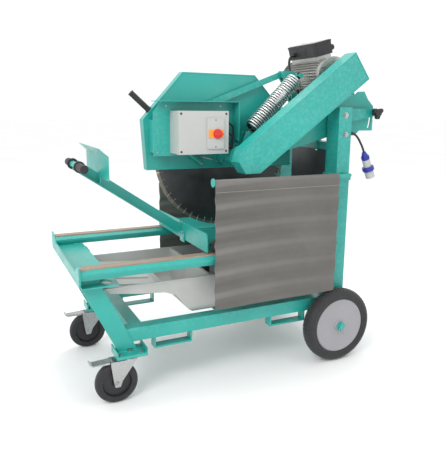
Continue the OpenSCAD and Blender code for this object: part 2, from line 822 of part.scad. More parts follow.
guard_outline = [[-422, shaft_h - 67], [405, shaft_h - 71], [405, shaft_h + 163],
                 [174, shaft_h + 406], [-230, shaft_h + 409], [-438, shaft_h + 180]];

module blade_guard() color(teal) {
    hollow = inset(guard_outline, 3);
    difference() {
        union() {
            difference() {
                plate_y(guard_outline, -guard_y, guard_y);
                plate_y(hollow, -guard_y + 3, guard_y - 3);
                slab([-416, -guard_y + 3, shaft_h - 80], [399, guard_y - 3, shaft_h - 60]);
            }
            ring_y(shaft, 60, 44 + fit, -40, -guard_y + 3);
            rod_y(link_moving, 8, -66, -guard_y + 2);
            rod_y(link_moving, 12, -68, -62);
        }
        rod_y(shaft, 44 + fit, -45, -guard_y + 4);
    }
}

handle_foot = [-398, shaft_h + 224.1];
handle_lean = 47.8;

module guard_handle() color(black) {
    translate([handle_foot[0], 0, handle_foot[1]]) rotate([0, -handle_lean, 0]) {
        cylinder(r = 17, h = 9);
        translate([0, 0, 9]) cylinder(r = 14.5, h = 108);
        translate([0, 0, 117]) cylinder(r = 16, h = 6);
    }
}

carrier_y = -97;
carrier_x0 = -410;
carrier_x1 = 13;
carrier_top = shaft_h + 265;
carrier_low = shaft_h + 7;
roof_y = -172;

module box_carrier() color(teal) {
    // back plate, roof and right-hand wall
    difference() {
        slab([carrier_x0, carrier_y - 3, carrier_low], [carrier_x1, carrier_y, carrier_top]);
        slab([-120, carrier_y - 4, carrier_low - 1], [carrier_x1 + 1, carrier_y + 1, shaft_h + 80]);
        plate_y([[carrier_x0 - 1, carrier_top + 1], [carrier_x0 - 1, shaft_h + 216],
                 [carrier_x0 + 46, carrier_top + 1]], carrier_y - 4, carrier_y + 1);
    }
    slab([carrier_x0 - 8, roof_y, carrier_top], [carrier_x1, carrier_y, carrier_top + 3]);
    slab([carrier_x1 - 3, roof_y, shaft_h + 80], [carrier_x1, carrier_y - 3, carrier_top]);
    // stand-offs that fix it to the guard
    slab([carrier_x0 + 2, carrier_y, shaft_h + 22], [carrier_x0 + 10, -guard_y, shaft_h + 180]);
    slab([carrier_x1 - 40, carrier_y, shaft_h + 180], [carrier_x1 - 34, -guard_y, shaft_h + 235]);
}

box_min = [-325, -218, shaft_h + 22];
box_max = [-70, carrier_y - 3, shaft_h + 222];

module control_box() {
    color(grey) {
        slab([box_min[0], box_min[1] + 36, box_min[2]], box_max);
        slab([box_min[0] - 1, box_min[1], box_min[2] - 1],
             [box_max[0] + 1, box_min[1] + 34, box_max[2] + 1]);
        slab([box_min[0] + 2, box_min[1] + 33, box_min[2] + 2],
             [box_max[0] - 2, box_min[1] + 37, box_max[2] - 2]);
        // switch plate
        slab([-184, box_min[1] - 8, shaft_h + 46], [-96, box_min[1], shaft_h + 190]);
    }
    color(black) for (z = [shaft_h + 70, shaft_h + 120, shaft_h + 170])
        translate([box_max[0] - 1, -150, z]) rotate([0, 90, 0]) cylinder(r = 10, h = 24);
}

knob = [-131, shaft_h + 116];

module switch_knob() color([0.78, 0.08, 0.08]) {
    rod_y(knob, 21, box_min[1] - 20, box_min[1] - 8.3);
    slab([knob[0] - 21, box_min[1] - 30, knob[1] - 6], [knob[0] + 21, box_min[1] - 19, knob[1] + 6]);
}

module link_bar() color(teal) difference() {
    plate_y(belt_outline(link_moving, 15, link_fixed, 15), -58, -48);
    rod_y(link_fixed, 8 + fit, -60, -46);
    rod_y(link_moving, 8.3, -60, -46);
}

module star_knob() color(black) {
    rod_y(lock_stud, 6, -275, -194);
    rod_y(lock_stud, 11, -203, -194);
    rod_y(lock_stud, 14, -262, lug_y - 6);
    translate([lock_stud[0], -262, lock_stud[1]]) rotate([90, 0, 0]) {
        cylinder(r = 20, h = 22);
        for (a = [30, 150, 270]) rotate(a) translate([22, 0, 0]) cylinder(r = 12, h = 20);
    }
}

// ---------- trolley ----------

deck_z = 698;
deck_t = 6;
slot_half = 11;
fence_x = -238;
deck_back = 300;
side_y = 312;
roller_z = table_h + 30.3;
roller_x = [-188, 262];

module trolley_frame() color(teal) difference() {
    union() {
        both_sides() {
            slab([fence_x + 6, slot_half, deck_z], [deck_back, side_y, deck_z + deck_t]);
            slab([fence_x + 6, side_y, table_h + 4], [deck_back, side_y + 5, deck_z + deck_t]);
            slab([fence_x + 6, slot_half, deck_z - 18], [deck_back, slot_half + 4, deck_z]);
            for (x = roller_x) rod_y([x, roller_z], 9, side_y + 4, side_y + 37);
            for (x = [0, deck_back - 6])
                slab([x, slot_half + 4, deck_z - 18], [x + 6, side_y, deck_z]);
        }
        slab([fence_x + 6, -side_y, deck_z - 32], [fence_x + 46, side_y, deck_z]);
    }
    slab([fence_x + 50, -slot_half, deck_z - 40], [deck_back + 1, slot_half, deck_z + 10]);
}

module rollers(x) {
    both_sides() translate([x, rail_y, roller_z]) rotate([90, 0, 0]) rotate_extrude()
        polygon([[9 + fit, -10], [30, -10], [30, 11], [9 + fit, 11]]);
}

module front_rollers() color(zinc) rollers(roller_x[0]);
module rear_rollers() color(zinc) rollers(roller_x[1]);

fence_top = 760;

module fence_plates() color(teal) {
    plate_x([[-345, 668], [-6, 668], [-6, fence_top], [-325, fence_top], [-339, 752],
             [-345, 736]], fence_x, fence_x + 6);
    plate_x([[6, 668], [350, 668], [350, fence_top - 6], [6, fence_top]], fence_x, fence_x + 6);
    // lower bridge that joins the two halves under the blade slot
    plate_x([[-40, 668], [40, 668], [40, 690], [-40, 690]], fence_x, fence_x + 6);
}

bar_foot = [fence_x - 10, 718];
bar_head = [-762, 1067];
bar_rise = atan2(bar_head[1] - bar_foot[1], bar_foot[0] - bar_head[0]);
bar_y = -10;

// Cross tube and its grips, centred just off the bar
grip_mid = -8;
tube_half = 150;
grip_in = 80;
grip_out = 200;

// Angle-section bar that runs up to the cross tube of the handle
module push_bar() color(teal) {
    length = norm(bar_head - bar_foot);
    mid = (bar_head + bar_foot) / 2;
    difference() {
        union() {
            turned_slab(mid, -bar_rise, length + 10, 50, bar_y, bar_y + 5);
            turned_slab(mid + 22.5 * [-sin(bar_rise), -cos(bar_rise)], -bar_rise, length - 30, 5,
                        bar_y - 45, bar_y + 5);
        }
        slab([fence_x - 7, -100, 600], [fence_x + 80, 100, 800]);
    }
    // bolting plate against the fence
    slab([fence_x - 7, -62, 656], [fence_x, -8, 752]);
    rod_y(bar_head, 15, grip_mid - tube_half, grip_mid + tube_half);
}

module handle_grip() {
    ring_y([0, 0], 27, 15, grip_in, grip_in + 8);
    difference() {
        rod_y([0, 0], 19, grip_in, grip_out);
        rod_y([0, 0], 15, grip_in - 1, tube_half);
    }
}

module handle_grips() color(black) translate([bar_head[0], grip_mid, bar_head[1]]) both_sides()
    handle_grip();

guard_plate_x = -660;

// Plate in front of the operator's hands, with its top edge turned towards them
module hand_guard() color(teal) {
    plate_x([[-236, 1122], [-236, 1014], [-60, 1014], [-60, 982], [bar_y, 982], [bar_y, 1034],
             [bar_y + 6, 1034], [60, 1014], [236, 1014], [236, 1122]],
            guard_plate_x - 3, guard_plate_x);
    difference() {
        plate_y([[-663, 1121], [-660, 1121], [-695, 1157], [-698, 1155]], -236, 236);
        translate([-700, -236, 1140]) rotate([0, 0, -50]) slab([-40, -40, -30], [28, 28, 30]);
    }
}

// ---------- small fasteners on the frame ----------

module frame_fasteners() color(zinc) {
    both_sides() {
        // table strip screws, flush with the strips
        for (x = strip_screw_x) translate([x, rail_y, table_h - 3]) cylinder(r = 5.8, h = 2.6);
        // bolt through each post, castor plate bolts and wheel retaining pins
        rod_y(stop_bolt, 7.9, upper_y0 + 1, upper_y1 + 8);
        hex_y(stop_bolt, 11.5, upper_y1, upper_y1 + 9);
        for (dx = [-50, 50])
            translate([castor_x + dx, castor_y + 32, leg_foot_z]) cylinder(r = 8, h = 6, $fn = 6);
        translate([wheel_x, pin_y, rear_r - 24]) cylinder(r = 2.5, h = 48);
    }
}

base_frame();
front_legs();
lower_posts();
upper_posts();
table_frame();
wear_strips();
water_tray();
water_pump();
rear_beam();
rear_flap();
curtain_rods();
curtain_near();
curtain_far();
cord_gland();
power_cord();
plug_body();
plug_ring();
head_bracket();
pivot_shaft();
rear_axle();
frame_fasteners();
castor_fork_near();
castor_fork_far();
castor_tyre_near();
castor_tyre_far();
castor_hub_near();
castor_hub_far();
brake_pedal_near();
brake_pedal_far();
rear_tyre_near();
rear_tyre_far();
rear_disc_near();
rear_disc_far();
arm();
motor_body();
terminal_box();
belt_cover();
belt_back();
spindle_housing();
spindle_bearings();
v_belts();
balance_spring();
motor_rotor();
saw_blade();
blade_shaft();
blade_flanges();
blade_guard();
guard_handle();
box_carrier();
control_box();
switch_knob();
link_bar();
star_knob();
trolley_frame();
fence_plates();
push_bar();
handle_grips();
hand_guard();
front_rollers();
rear_rollers();
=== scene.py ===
import json
import math
import bpy
import bmesh
from mathutils import Matrix, Vector


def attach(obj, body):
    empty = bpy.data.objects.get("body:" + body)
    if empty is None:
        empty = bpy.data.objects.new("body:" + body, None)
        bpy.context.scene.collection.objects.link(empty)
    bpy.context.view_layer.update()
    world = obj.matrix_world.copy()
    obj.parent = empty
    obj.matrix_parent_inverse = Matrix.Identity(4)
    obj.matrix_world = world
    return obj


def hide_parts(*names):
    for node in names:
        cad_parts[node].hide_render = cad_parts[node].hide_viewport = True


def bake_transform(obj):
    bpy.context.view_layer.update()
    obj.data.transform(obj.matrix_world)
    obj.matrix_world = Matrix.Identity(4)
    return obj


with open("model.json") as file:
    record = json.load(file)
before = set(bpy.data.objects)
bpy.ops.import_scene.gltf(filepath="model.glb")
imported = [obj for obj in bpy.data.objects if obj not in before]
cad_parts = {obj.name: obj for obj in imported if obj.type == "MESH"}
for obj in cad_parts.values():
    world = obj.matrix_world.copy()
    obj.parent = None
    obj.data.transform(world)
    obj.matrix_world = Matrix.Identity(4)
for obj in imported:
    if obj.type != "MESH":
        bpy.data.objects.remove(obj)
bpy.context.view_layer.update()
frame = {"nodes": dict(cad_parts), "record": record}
N = frame["nodes"]
scene = bpy.context.scene

TAU = 2 * math.pi
SIDES = (("near", -1), ("far", 1))
Y = Vector((0, 1, 0))
REAR_X, REAR_Y, REAR_Z = 0.510, 0.381, 0.200
CASTOR_X, CASTOR_Y, CASTOR_Z = -0.684, 0.325, 0.100
SWIVEL_X = -0.617
BLADE_Z, BLADE_RIM = 1.099, 0.3600
ROD_Z, SLEEVE_R = 1.004, 0.0128
CURTAIN_FRONT, CURTAIN_LENGTH = -0.219, 0.69
FOLDS = 5.6
SPRING_Y = -0.134

# ---------------------------------------------------------------- camera
cam_data = bpy.data.cameras.new("camera")
cam_data.lens = 42.75
cam_data.sensor_width = 36
cam = bpy.data.objects.new("camera", cam_data)
scene.collection.objects.link(cam)
yaw, pitch, roll = math.radians(25.5), math.radians(12.3), math.radians(0.5)
fwd = Vector((math.sin(yaw) * math.cos(pitch), math.cos(yaw) * math.cos(pitch), -math.sin(pitch)))
right = fwd.cross(Vector((0, 0, 1))).normalized()
up = right.cross(fwd)
r2 = right * math.cos(roll) + up * math.sin(roll)
u2 = up * math.cos(roll) - right * math.sin(roll)
cam_at = Matrix.Translation((-1.2167, -2.5703, 1.3338))
cam.matrix_world = cam_at @ Matrix((r2, u2, -fwd)).transposed().to_4x4()
scene.camera = cam


# ---------------------------------------------------------------- node helpers
class Mat:
    """One node-based material, with short calls for the nodes this scene uses."""

    def __init__(self, name):
        self.m = bpy.data.materials.new(name)
        self.m.use_nodes = True
        self.nt = self.m.node_tree
        self.b = self.nt.nodes["Principled BSDF"]
        self.geo = None

    def new(self, kind, **props):
        n = self.nt.nodes.new(kind)
        for k, v in props.items():
            setattr(n, k, v)
        return n

    def link(self, a, b):
        self.nt.links.new(a, b)

    def coords(self, scale=(1, 1, 1)):
        if self.geo is None:
            self.geo = self.new("ShaderNodeTexCoord")
        mp = self.new("ShaderNodeMapping")
        mp.inputs["Scale"].default_value = scale
        self.link(self.geo.outputs["Object"], mp.inputs["Vector"])
        return mp.outputs["Vector"]

    def noise(self, scale, detail=3.0, rough=0.55, stretch=(1, 1, 1)):
        n = self.new("ShaderNodeTexNoise")
        n.inputs["Scale"].default_value = scale
        n.inputs["Detail"].default_value = detail
        n.inputs["Roughness"].default_value = rough
        self.link(self.coords(stretch), n.inputs["Vector"])
        return n.outputs["Fac"]

    def ramp(self, fac, stops):
        r = self.new("ShaderNodeValToRGB")
        el = r.color_ramp.elements
        while len(el) < len(stops):
            el.new(0.5)
        for e, (pos, col) in zip(el, stops):
            e.position = pos
            e.color = (*col, 1)
        self.link(fac, r.inputs["Fac"])
        return r.outputs["Color"]

    def mix(self, fac, a, b):
        x = self.new("ShaderNodeMix", data_type="RGBA", blend_type="MIX")
        for sock, val in ((x.inputs[0], fac), (x.inputs[6], a), (x.inputs[7], b)):
            if isinstance(val, bpy.types.NodeSocket):
                self.link(val, sock)
            elif isinstance(val, (int, float)):
                sock.default_value = val
            else:
                sock.default_value = (*val, 1)
        return x.outputs[2]

    def math(self, op, a, b=0.0, clamp=False):
        x = self.new("ShaderNodeMath", operation=op, use_clamp=clamp)
        for sock, val in ((x.inputs[0], a), (x.inputs[1], b)):
            if isinstance(val, bpy.types.NodeSocket):
                self.link(val, sock)
            else:
                sock.default_value = val
        return x.outputs[0]

    def range(self, fac, lo, hi, f0=0.3, f1=0.7):
        x = self.new("ShaderNodeMapRange")
        x.inputs["From Min"].default_value = f0
        x.inputs["From Max"].default_value = f1
        x.inputs["To Min"].default_value = lo
        x.inputs["To Max"].default_value = hi
        self.link(fac, x.inputs["Value"])
        return x.outputs["Result"]

    def bump(self, height, strength, dist=0.001, normal=None):
        x = self.new("ShaderNodeBump")
        x.inputs["Strength"].default_value = strength
        x.inputs["Distance"].default_value = dist
        self.link(height, x.inputs["Height"])
        if normal is not None:
            self.link(normal, x.inputs["Normal"])
        return x.outputs["Normal"]

    def base(self, colour):
        if isinstance(colour, bpy.types.NodeSocket):
            self.link(colour, self.b.inputs["Base Color"])
        else:
            self.b.inputs["Base Color"].default_value = (*colour, 1)

    def set(self, **kw):
        for k, v in kw.items():
            sock = self.b.inputs[k.replace("_", " ")]
            if isinstance(v, bpy.types.NodeSocket):
                self.link(v, sock)
            else:
                sock.default_value = v

    def pointy(self, lo, hi):
        g = self.new("ShaderNodeNewGeometry")
        return self.range(g.outputs["Pointiness"], 0.0, 1.0, lo, hi)


def painted(name, col, rough=0.36, peel=0.25, grime=0.12, chip=0.25, coat=0.25):
    """Sprayed enamel: orange peel, a cloudy tone, light dust and slightly worn edges."""
    m = Mat(name)
    dark = tuple(c * 0.86 for c in col)
    light = tuple(min(1, c * 1.07 + 0.01) for c in col)
    cloud = m.ramp(m.noise(2.6, 4), [(0.25, dark), (0.55, col), (0.8, light)])
    dust = m.range(m.noise(11, 6, 0.7), 0.0, grime, 0.5, 0.85)
    tone = m.mix(dust, cloud, (0.33, 0.36, 0.34))
    wear = m.math("MULTIPLY", m.pointy(0.53, 0.60), m.range(m.noise(60, 3), 0.0, chip, 0.45, 0.7))
    tone = m.mix(wear, tone, tuple(min(1, c * 1.3 + 0.10) for c in col))
    m.base(tone)
    m.set(Roughness=m.range(m.noise(7, 5, 0.6), rough - 0.06, rough + 0.10), Specular_IOR_Level=0.5)
    m.set(Coat_Weight=coat, Coat_Roughness=0.25)
    fine = m.bump(m.noise(420, 2), peel, 0.0004)
    m.set(Normal=m.bump(m.noise(5, 2), 0.10, 0.004, fine))
    return m.m


def metal(name, col, rough=0.3, grain=(1, 1, 1), grain_scale=160, strength=0.25, stain=(0.3, 0.27, 0.22),
          stain_amount=0.2):
    m = Mat(name)
    streak = m.noise(grain_scale, 4, 0.6, grain)
    tone = m.ramp(streak, [(0.2, tuple(c * 0.78 for c in col)), (0.8, tuple(min(1, c * 1.1) for c in col))])
    spots = m.range(m.noise(24, 6, 0.7), 0.0, stain_amount, 0.5, 0.8)
    m.base(m.mix(spots, tone, stain))
    m.set(Metallic=1.0, Roughness=m.range(streak, rough - 0.08, rough + 0.14))
    m.set(Normal=m.bump(streak, strength, 0.0006))
    return m.m


def moulded(name, col, rough=0.55, grain=600, strength=0.3, var=0.10, coat=0.0, sheen=0.0):
    m = Mat(name)
    a = tuple(c * (1 - var) for c in col)
    b = tuple(min(1, c * (1 + var)) for c in col)
    m.base(m.ramp(m.noise(9, 4, 0.6), [(0.3, a), (0.7, b)]))
    m.set(Roughness=m.range(m.noise(30, 4), rough - 0.07, rough + 0.09), Coat_Weight=coat)
    m.set(Normal=m.bump(m.noise(grain, 2), strength, 0.0005))
    if sheen:
        m.set(Sheen_Weight=sheen)
    return m.m


TEAL = (0.012, 0.335, 0.290)
M = {
    "teal": painted("paint_green", TEAL),
    "zinc": metal("zinc_plate", (0.46, 0.47, 0.47), 0.28, stain=(0.40, 0.38, 0.30), stain_amount=0.35),
    "steel": metal("bare_steel", (0.34, 0.35, 0.36), 0.34),
    "black_rubber": moulded("rubber_black", (0.014, 0.014, 0.015), 0.62, 420, 0.45, 0.15, sheen=0.1),
    "tyre": moulded("rubber_tyre", (0.018, 0.018, 0.020), 0.70, 300, 0.6, 0.22, sheen=0.15),
    "black_plastic": moulded("plastic_black", (0.014, 0.014, 0.016), 0.44, 700, 0.35, 0.12),
    "tray": moulded("tray_grey", (0.43, 0.435, 0.42), 0.52, 300, 0.22, 0.05),
    "box_grey": moulded("box_grey", (0.45, 0.455, 0.445), 0.42, 900, 0.25, 0.03),
    "blue_plastic": moulded("plastic_blue", (0.012, 0.022, 0.30), 0.33, 500, 0.12, 0.08, coat=0.2),
    "red_plastic": moulded("plastic_red", (0.62, 0.020, 0.012), 0.30, 500, 0.10, 0.06, coat=0.3),
    "orange": moulded("plastic_orange", (0.90, 0.30, 0.03), 0.36, 500, 0.10, 0.05),
    "wheel_grey": painted("wheel_grey", (0.29, 0.285, 0.305), 0.45, 0.3, 0.2, 0.2, 0.1),
    "motor_alu": metal("cast_aluminium", (0.50, 0.50, 0.48), 0.46, grain_scale=320, strength=0.5),
    "lid_grey": moulded("lid_grey", (0.34, 0.35, 0.33), 0.40, 600, 0.25, 0.1),
    "flap": moulded("rubber_flap", (0.030, 0.036, 0.040), 0.38, 90, 0.35, 0.35),
}


def strip_material():
    m = Mat("strip_laminate")
    long_grain = m.noise(60, 5, 0.65, (0.06, 1.4, 1))
    tone = m.ramp(long_grain, [(0.25, (0.21, 0.155, 0.115)), (0.55, (0.31, 0.235, 0.18)),
                               (0.85, (0.40, 0.32, 0.26))])
    m.base(tone)
    m.set(Roughness=m.range(long_grain, 0.45, 0.68), Normal=m.bump(long_grain, 0.35, 0.0006))
    return m.m


def cloth_material(name, seam_z, hem):
    """Coated cloth: a fine plain weave, broad tone changes, a painted highlight and painted shade along the
    cross creases and a line of stitches.
    """
    m = Mat(name)
    w1 = m.new("ShaderNodeTexWave", wave_type="BANDS", bands_direction="X")
    w1.inputs["Scale"].default_value = 420
    w2 = m.new("ShaderNodeTexWave", wave_type="BANDS", bands_direction="Z")
    w2.inputs["Scale"].default_value = 420
    for w in (w1, w2):
        w.inputs["Distortion"].default_value = 0.6
        m.link(m.coords(), w.inputs["Vector"])
    weave = m.math("MULTIPLY", w1.outputs["Fac"], w2.outputs["Fac"])
    cloud = m.ramp(m.noise(3.2, 5, 0.6), [(0.25, (0.094, 0.089, 0.081)), (0.55, (0.118, 0.112, 0.102)),
                                          (0.8, (0.144, 0.137, 0.126))])
    tone = m.mix(m.range(weave, 0.0, 0.22, 0.0, 1.0), cloud, (0.06, 0.055, 0.05))
    scuff = m.range(m.noise(38, 6, 0.75), 0.0, 0.25, 0.55, 0.8)
    tone = m.mix(scuff, tone, (0.18, 0.173, 0.16))
    sep = m.new("ShaderNodeSeparateXYZ")
    m.link(m.coords(), sep.inputs[0])
    # cross creases get a painted highlight above each fold and a painted shade below it, most towards the front
    # edge
    u = m.math("DIVIDE", m.math("SUBTRACT", sep.outputs["X"], CURTAIN_FRONT), CURTAIN_LENGTH)
    turn = m.math("MULTIPLY", m.math("SUBTRACT", 0.993, sep.outputs["Z"]), TAU * FOLDS / 0.597)
    turn = m.math("ADD", turn, m.math("SINE", m.math("MULTIPLY", u, 2.6)))
    fade = m.math("POWER", 0.18, m.math("MULTIPLY", u, 0.8, clamp=True))
    fold_light_wave = m.math("SINE", m.math("ADD", turn, 1.9))
    painted_fold_highlight = m.math("MULTIPLY", fade, m.range(fold_light_wave, 0.0, 0.34, 0.45, 1.0))
    dark = m.math("MULTIPLY", fade, m.range(fold_light_wave, 0.34, 0.0, -1.0, -0.35))
    # mix the painted fold highlight and the painted fold shade into the cloth's tone
    tone = m.mix(painted_fold_highlight, tone, (0.27, 0.262, 0.245))
    tone = m.mix(dark, tone, (0.055, 0.053, 0.048))
    band = m.math("SUBTRACT", sep.outputs["Z"], seam_z)
    stitch = m.math("LESS_THAN", m.math("ABSOLUTE", band), 0.0011)
    dash = m.new("ShaderNodeTexWave", wave_type="BANDS", bands_direction="X")
    dash.inputs["Scale"].default_value = 62
    m.link(m.coords(), dash.inputs["Vector"])
    thread = m.math("MULTIPLY", stitch, m.math("GREATER_THAN", dash.outputs["Fac"], 0.35))
    m.base(m.mix(thread, tone, hem))
    m.set(Roughness=m.range(m.noise(12, 4), 0.50, 0.68), Sheen_Weight=0.12)
    fine = m.bump(weave, 0.35, 0.0004)
    m.set(Normal=m.bump(m.noise(9, 3), 0.20, 0.004, fine))
    return m.m


def blade_material():
    """Steel core with fine concentric turning marks, in a cloudy tone painted dark and slightly blue-green as a
    painted reflection of the dark, teal surroundings.
    """
    m = Mat("blade_core")
    sep = m.new("ShaderNodeSeparateXYZ")
    m.link(m.coords(), sep.inputs[0])
    z = m.math("SUBTRACT", sep.outputs["Z"], BLADE_Z)
    x_squared = m.math("MULTIPLY", sep.outputs["X"], sep.outputs["X"])
    r = m.math("SQRT", m.math("ADD", x_squared, m.math("MULTIPLY", z, z)))
    rings = m.math("SINE", m.math("MULTIPLY", r, 2400.0))
    cloud = m.noise(7, 5, 0.6)
    # painted reflection: the core's grey is kept dark with a slight blue-green tint, as the dark teal
    # surroundings would reflect in it
    tone = m.ramp(cloud, [(0.25, (0.075, 0.085, 0.088)), (0.6, (0.115, 0.122, 0.124)),
                          (0.85, (0.18, 0.18, 0.175))])
    rim = m.math("GREATER_THAN", r, BLADE_RIM)
    tone = m.mix(rim, tone, m.ramp(m.noise(260, 3), [(0.3, (0.20, 0.18, 0.14)), (0.7, (0.36, 0.33, 0.27))]))
    m.base(tone)
    m.set(Metallic=0.85, Roughness=m.range(cloud, 0.26, 0.42))
    grit = m.math("MULTIPLY", rim, m.noise(900, 2))
    m.set(Normal=m.bump(m.math("ADD", m.math("MULTIPLY", rings, 0.06), grit), 0.4, 0.0005))
    return m.m


def spring_material(base, side_a, side_b, radius):
    """Bright wire whose inner side, towards the coil's axis, is painted dark as shade inside the coil."""
    m = Mat("spring_wire")
    off = m.new("ShaderNodeVectorMath", operation="SUBTRACT")
    m.link(m.coords(), off.inputs[0])
    off.inputs[1].default_value = base
    squares = []
    for side in (side_a, side_b):
        dot = m.new("ShaderNodeVectorMath", operation="DOT_PRODUCT")
        m.link(off.outputs["Vector"], dot.inputs[0])
        dot.inputs[1].default_value = side
        squares.append(m.math("MULTIPLY", dot.outputs["Value"], dot.outputs["Value"]))
    dist = m.math("SQRT", m.math("ADD", *squares))
    # painted shade: the wire darkens and loses its metal look on the side facing the coil's axis
    inner = m.range(dist, 1.0, 0.0, radius - 0.0022, radius + 0.0012)
    streak = m.noise(240, 4)
    tone = m.ramp(streak, [(0.2, (0.58, 0.60, 0.60)), (0.8, (0.80, 0.82, 0.81))])
    m.base(m.mix(inner, tone, (0.012, 0.013, 0.013)))
    m.set(Metallic=m.math("SUBTRACT", 0.9, m.math("MULTIPLY", inner, 0.8)))
    m.set(Roughness=m.range(streak, 0.24, 0.42))
    return m.m


M["strip"] = strip_material()
M["curtain"] = cloth_material("curtain_cloth", 0.960, (0.33, 0.31, 0.28))
M["blade"] = blade_material()


def dress(obj, mat):
    """Gives a CAD node one material."""
    obj.data.materials.clear()
    obj.data.materials.append(mat)


for part in frame["record"]["subparts"]:
    dress(N[part["node"]], M[part["material_slot"]])
dress(N["saw_blade"], M["blade"])
dress(N["rear_flap"], M["flap"])


# ---------------------------------------------------------------- mesh helpers
def piece(name, bm, mat, body, bevel=0.0, segments=2, smooth=True):
    """Turns a bmesh into an object with one material that rides on a body."""
    me = bpy.data.meshes.new(name)
    bmesh.ops.recalc_face_normals(bm, faces=bm.faces)
    bm.to_mesh(me)
    bm.free()
    ob = bpy.data.objects.new(name, me)
    scene.collection.objects.link(ob)
    if mat is not None:
        me.materials.append(mat)
    if bevel:
        mod = ob.modifiers.new("bevel", "BEVEL")
        mod.width = bevel
        mod.segments = segments
        mod.limit_method = "ANGLE"
        mod.angle_limit = math.radians(35)
    if smooth:
        for p in me.polygons:
            p.use_smooth = True
        if hasattr(me, "set_sharp_from_angle"):
            me.set_sharp_from_angle(angle=math.radians(38))
    if body:
        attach(ob, body)
    return ob


def add_cyl(bm, a, b, r, n=32):
    """A cylinder between two points."""
    a, b = Vector(a), Vector(b)
    d = b - a
    rot = d.to_track_quat("Z", "Y").to_matrix().to_4x4()
    m = Matrix.Translation((a + b) / 2) @ rot
    bmesh.ops.create_cone(bm, cap_ends=True, segments=n, radius1=r, radius2=r, depth=d.length, matrix=m)


def add_box(bm, lo, hi, matrix=None):
    lo, hi = Vector(lo), Vector(hi)
    size = hi - lo
    m = Matrix.Translation((lo + hi) / 2) @ Matrix.Diagonal((*size, 1))
    if matrix is not None:
        m = matrix @ m
    bmesh.ops.create_cube(bm, size=1, matrix=m)


def add_lathe(bm, profile, a, axis, n=48, close=False):
    """Turns a profile of (radius, distance along the axis) round an axis from point a."""
    a = Vector(a)
    rot = Vector(axis).to_track_quat("Z", "Y").to_matrix()
    rings = []
    for r, h in profile:
        ring = []
        for k in range(n):
            t = TAU * k / n
            ring.append(bm.verts.new(a + rot @ Vector((r * math.cos(t), r * math.sin(t), h))))
        rings.append(ring)
    pairs = list(zip(rings, rings[1:]))
    if close:
        pairs.append((rings[-1], rings[0]))
    for p, q in pairs:
        for k in range(n):
            bm.faces.new((p[k], p[(k + 1) % n], q[(k + 1) % n], q[k]))
    if not close:
        bm.faces.new(rings[0])
        bm.faces.new(rings[-1])


def add_tube(bm, pts, r, n=10, closed=False):
    """A round tube along points, which may have a radius each, without twist from point to point."""
    pts = [Vector(p) for p in pts]
    count = len(pts)
    tang = []
    for i in range(count):
        if closed:
            t = pts[(i + 1) % count] - pts[i - 1]
        else:
            t = pts[min(i + 1, count - 1)] - pts[max(i - 1, 0)]
        tang.append(t.normalized())
    ref = Vector((0, 0, 1)) if abs(tang[0].z) < 0.9 else Vector((1, 0, 0))
    side = tang[0].cross(ref).normalized()
    rings = []
    for i in range(count):
        if i:
            q = tang[i - 1].rotation_difference(tang[i])
            side = (q @ side).normalized()
        other = tang[i].cross(side)
        rad = r[i] if isinstance(r, (list, tuple)) else r
        turns = [TAU * k / n for k in range(n)]
        rings.append([bm.verts.new(pts[i] + (side * math.cos(t) + other * math.sin(t)) * rad) for t in turns])
    pairs = list(zip(rings, rings[1:]))
    if closed:
        pairs.append((rings[-1], rings[0]))
    for p, q in pairs:
        for k in range(n):
            bm.faces.new((p[k], p[(k + 1) % n], q[(k + 1) % n], q[k]))
    if not closed:
        bm.faces.new(rings[0])
        bm.faces.new(list(reversed(rings[-1])))


def smooth_path(pts, steps=6):
    """Catmull-Rom through the points."""
    pts = [Vector(p) for p in pts]
    out = []
    for i in range(len(pts) - 1):
        p0, p1 = pts[max(i - 1, 0)], pts[i]
        p2, p3 = pts[i + 1], pts[min(i + 2, len(pts) - 1)]
        for s in range(steps):
            t = s / steps
            out.append(0.5 * ((2 * p1) + (p2 - p0) * t + (2 * p0 - 5 * p1 + 4 * p2 - p3) * t * t
                              + (3 * p1 - p0 - 3 * p2 + p3) * t ** 3))
    out.append(pts[-1])
    return out


def hose(name, pts, r, mat, body, steps=6, n=12):
    bm = bmesh.new()
    add_tube(bm, smooth_path(pts, steps), r, n)
    return piece(name, bm, mat, body)


def bolt(bm, at, axis, r=0.009, head=0.006, washer=True, n=6):
    """Hexagon head on a washer, standing on a surface at a point."""
    at, axis = Vector(at), Vector(axis).normalized()
    base = 0.0
    if washer:
        add_lathe(bm, [(r * 1.25, 0), (r * 1.32, 0.0006), (r * 1.25, 0.0016)], at, axis, 24)
        base = 0.0016
    add_lathe(bm, [(r, base), (r, base + head * 0.8), (r * 0.86, base + head)], at, axis, n)


# ---------------------------------------------------------------- power cord
route = [(606, 1212), (615, 1211), (624, 1208), (632, 1204), (640, 1198), (647, 1191), (654, 1183),
         (660, 1175), (666, 1166), (672, 1157), (678, 1148), (683, 1139), (688, 1130), (692, 1121),
         (696, 1111)]
cord_pts = smooth_path([Vector((x / 1000, -0.300, z / 1000)) for x, z in route], 3)
curve = bpy.data.curves.new("power_lead", "CURVE")
curve.dimensions = "3D"
sp = curve.splines.new("POLY")
sp.points.add(len(cord_pts) - 1)
for p, c in zip(sp.points, cord_pts):
    p.co = (*c, 1)
curve.bevel_depth = 0.0055
curve.bevel_resolution = 5
curve.use_fill_caps = True
lead = bpy.data.objects.new("power_lead", curve)
scene.collection.objects.link(lead)
curve.materials.append(M["black_rubber"])
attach(lead, "frame")
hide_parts("power_cord")

bm = bmesh.new()
relief = cord_pts[:10]
add_tube(bm, relief, [0.0085 - 0.0026 * i / 9 for i in range(10)], 20)
boot = piece("cord_boot", bm, M["black_rubber"], "frame")

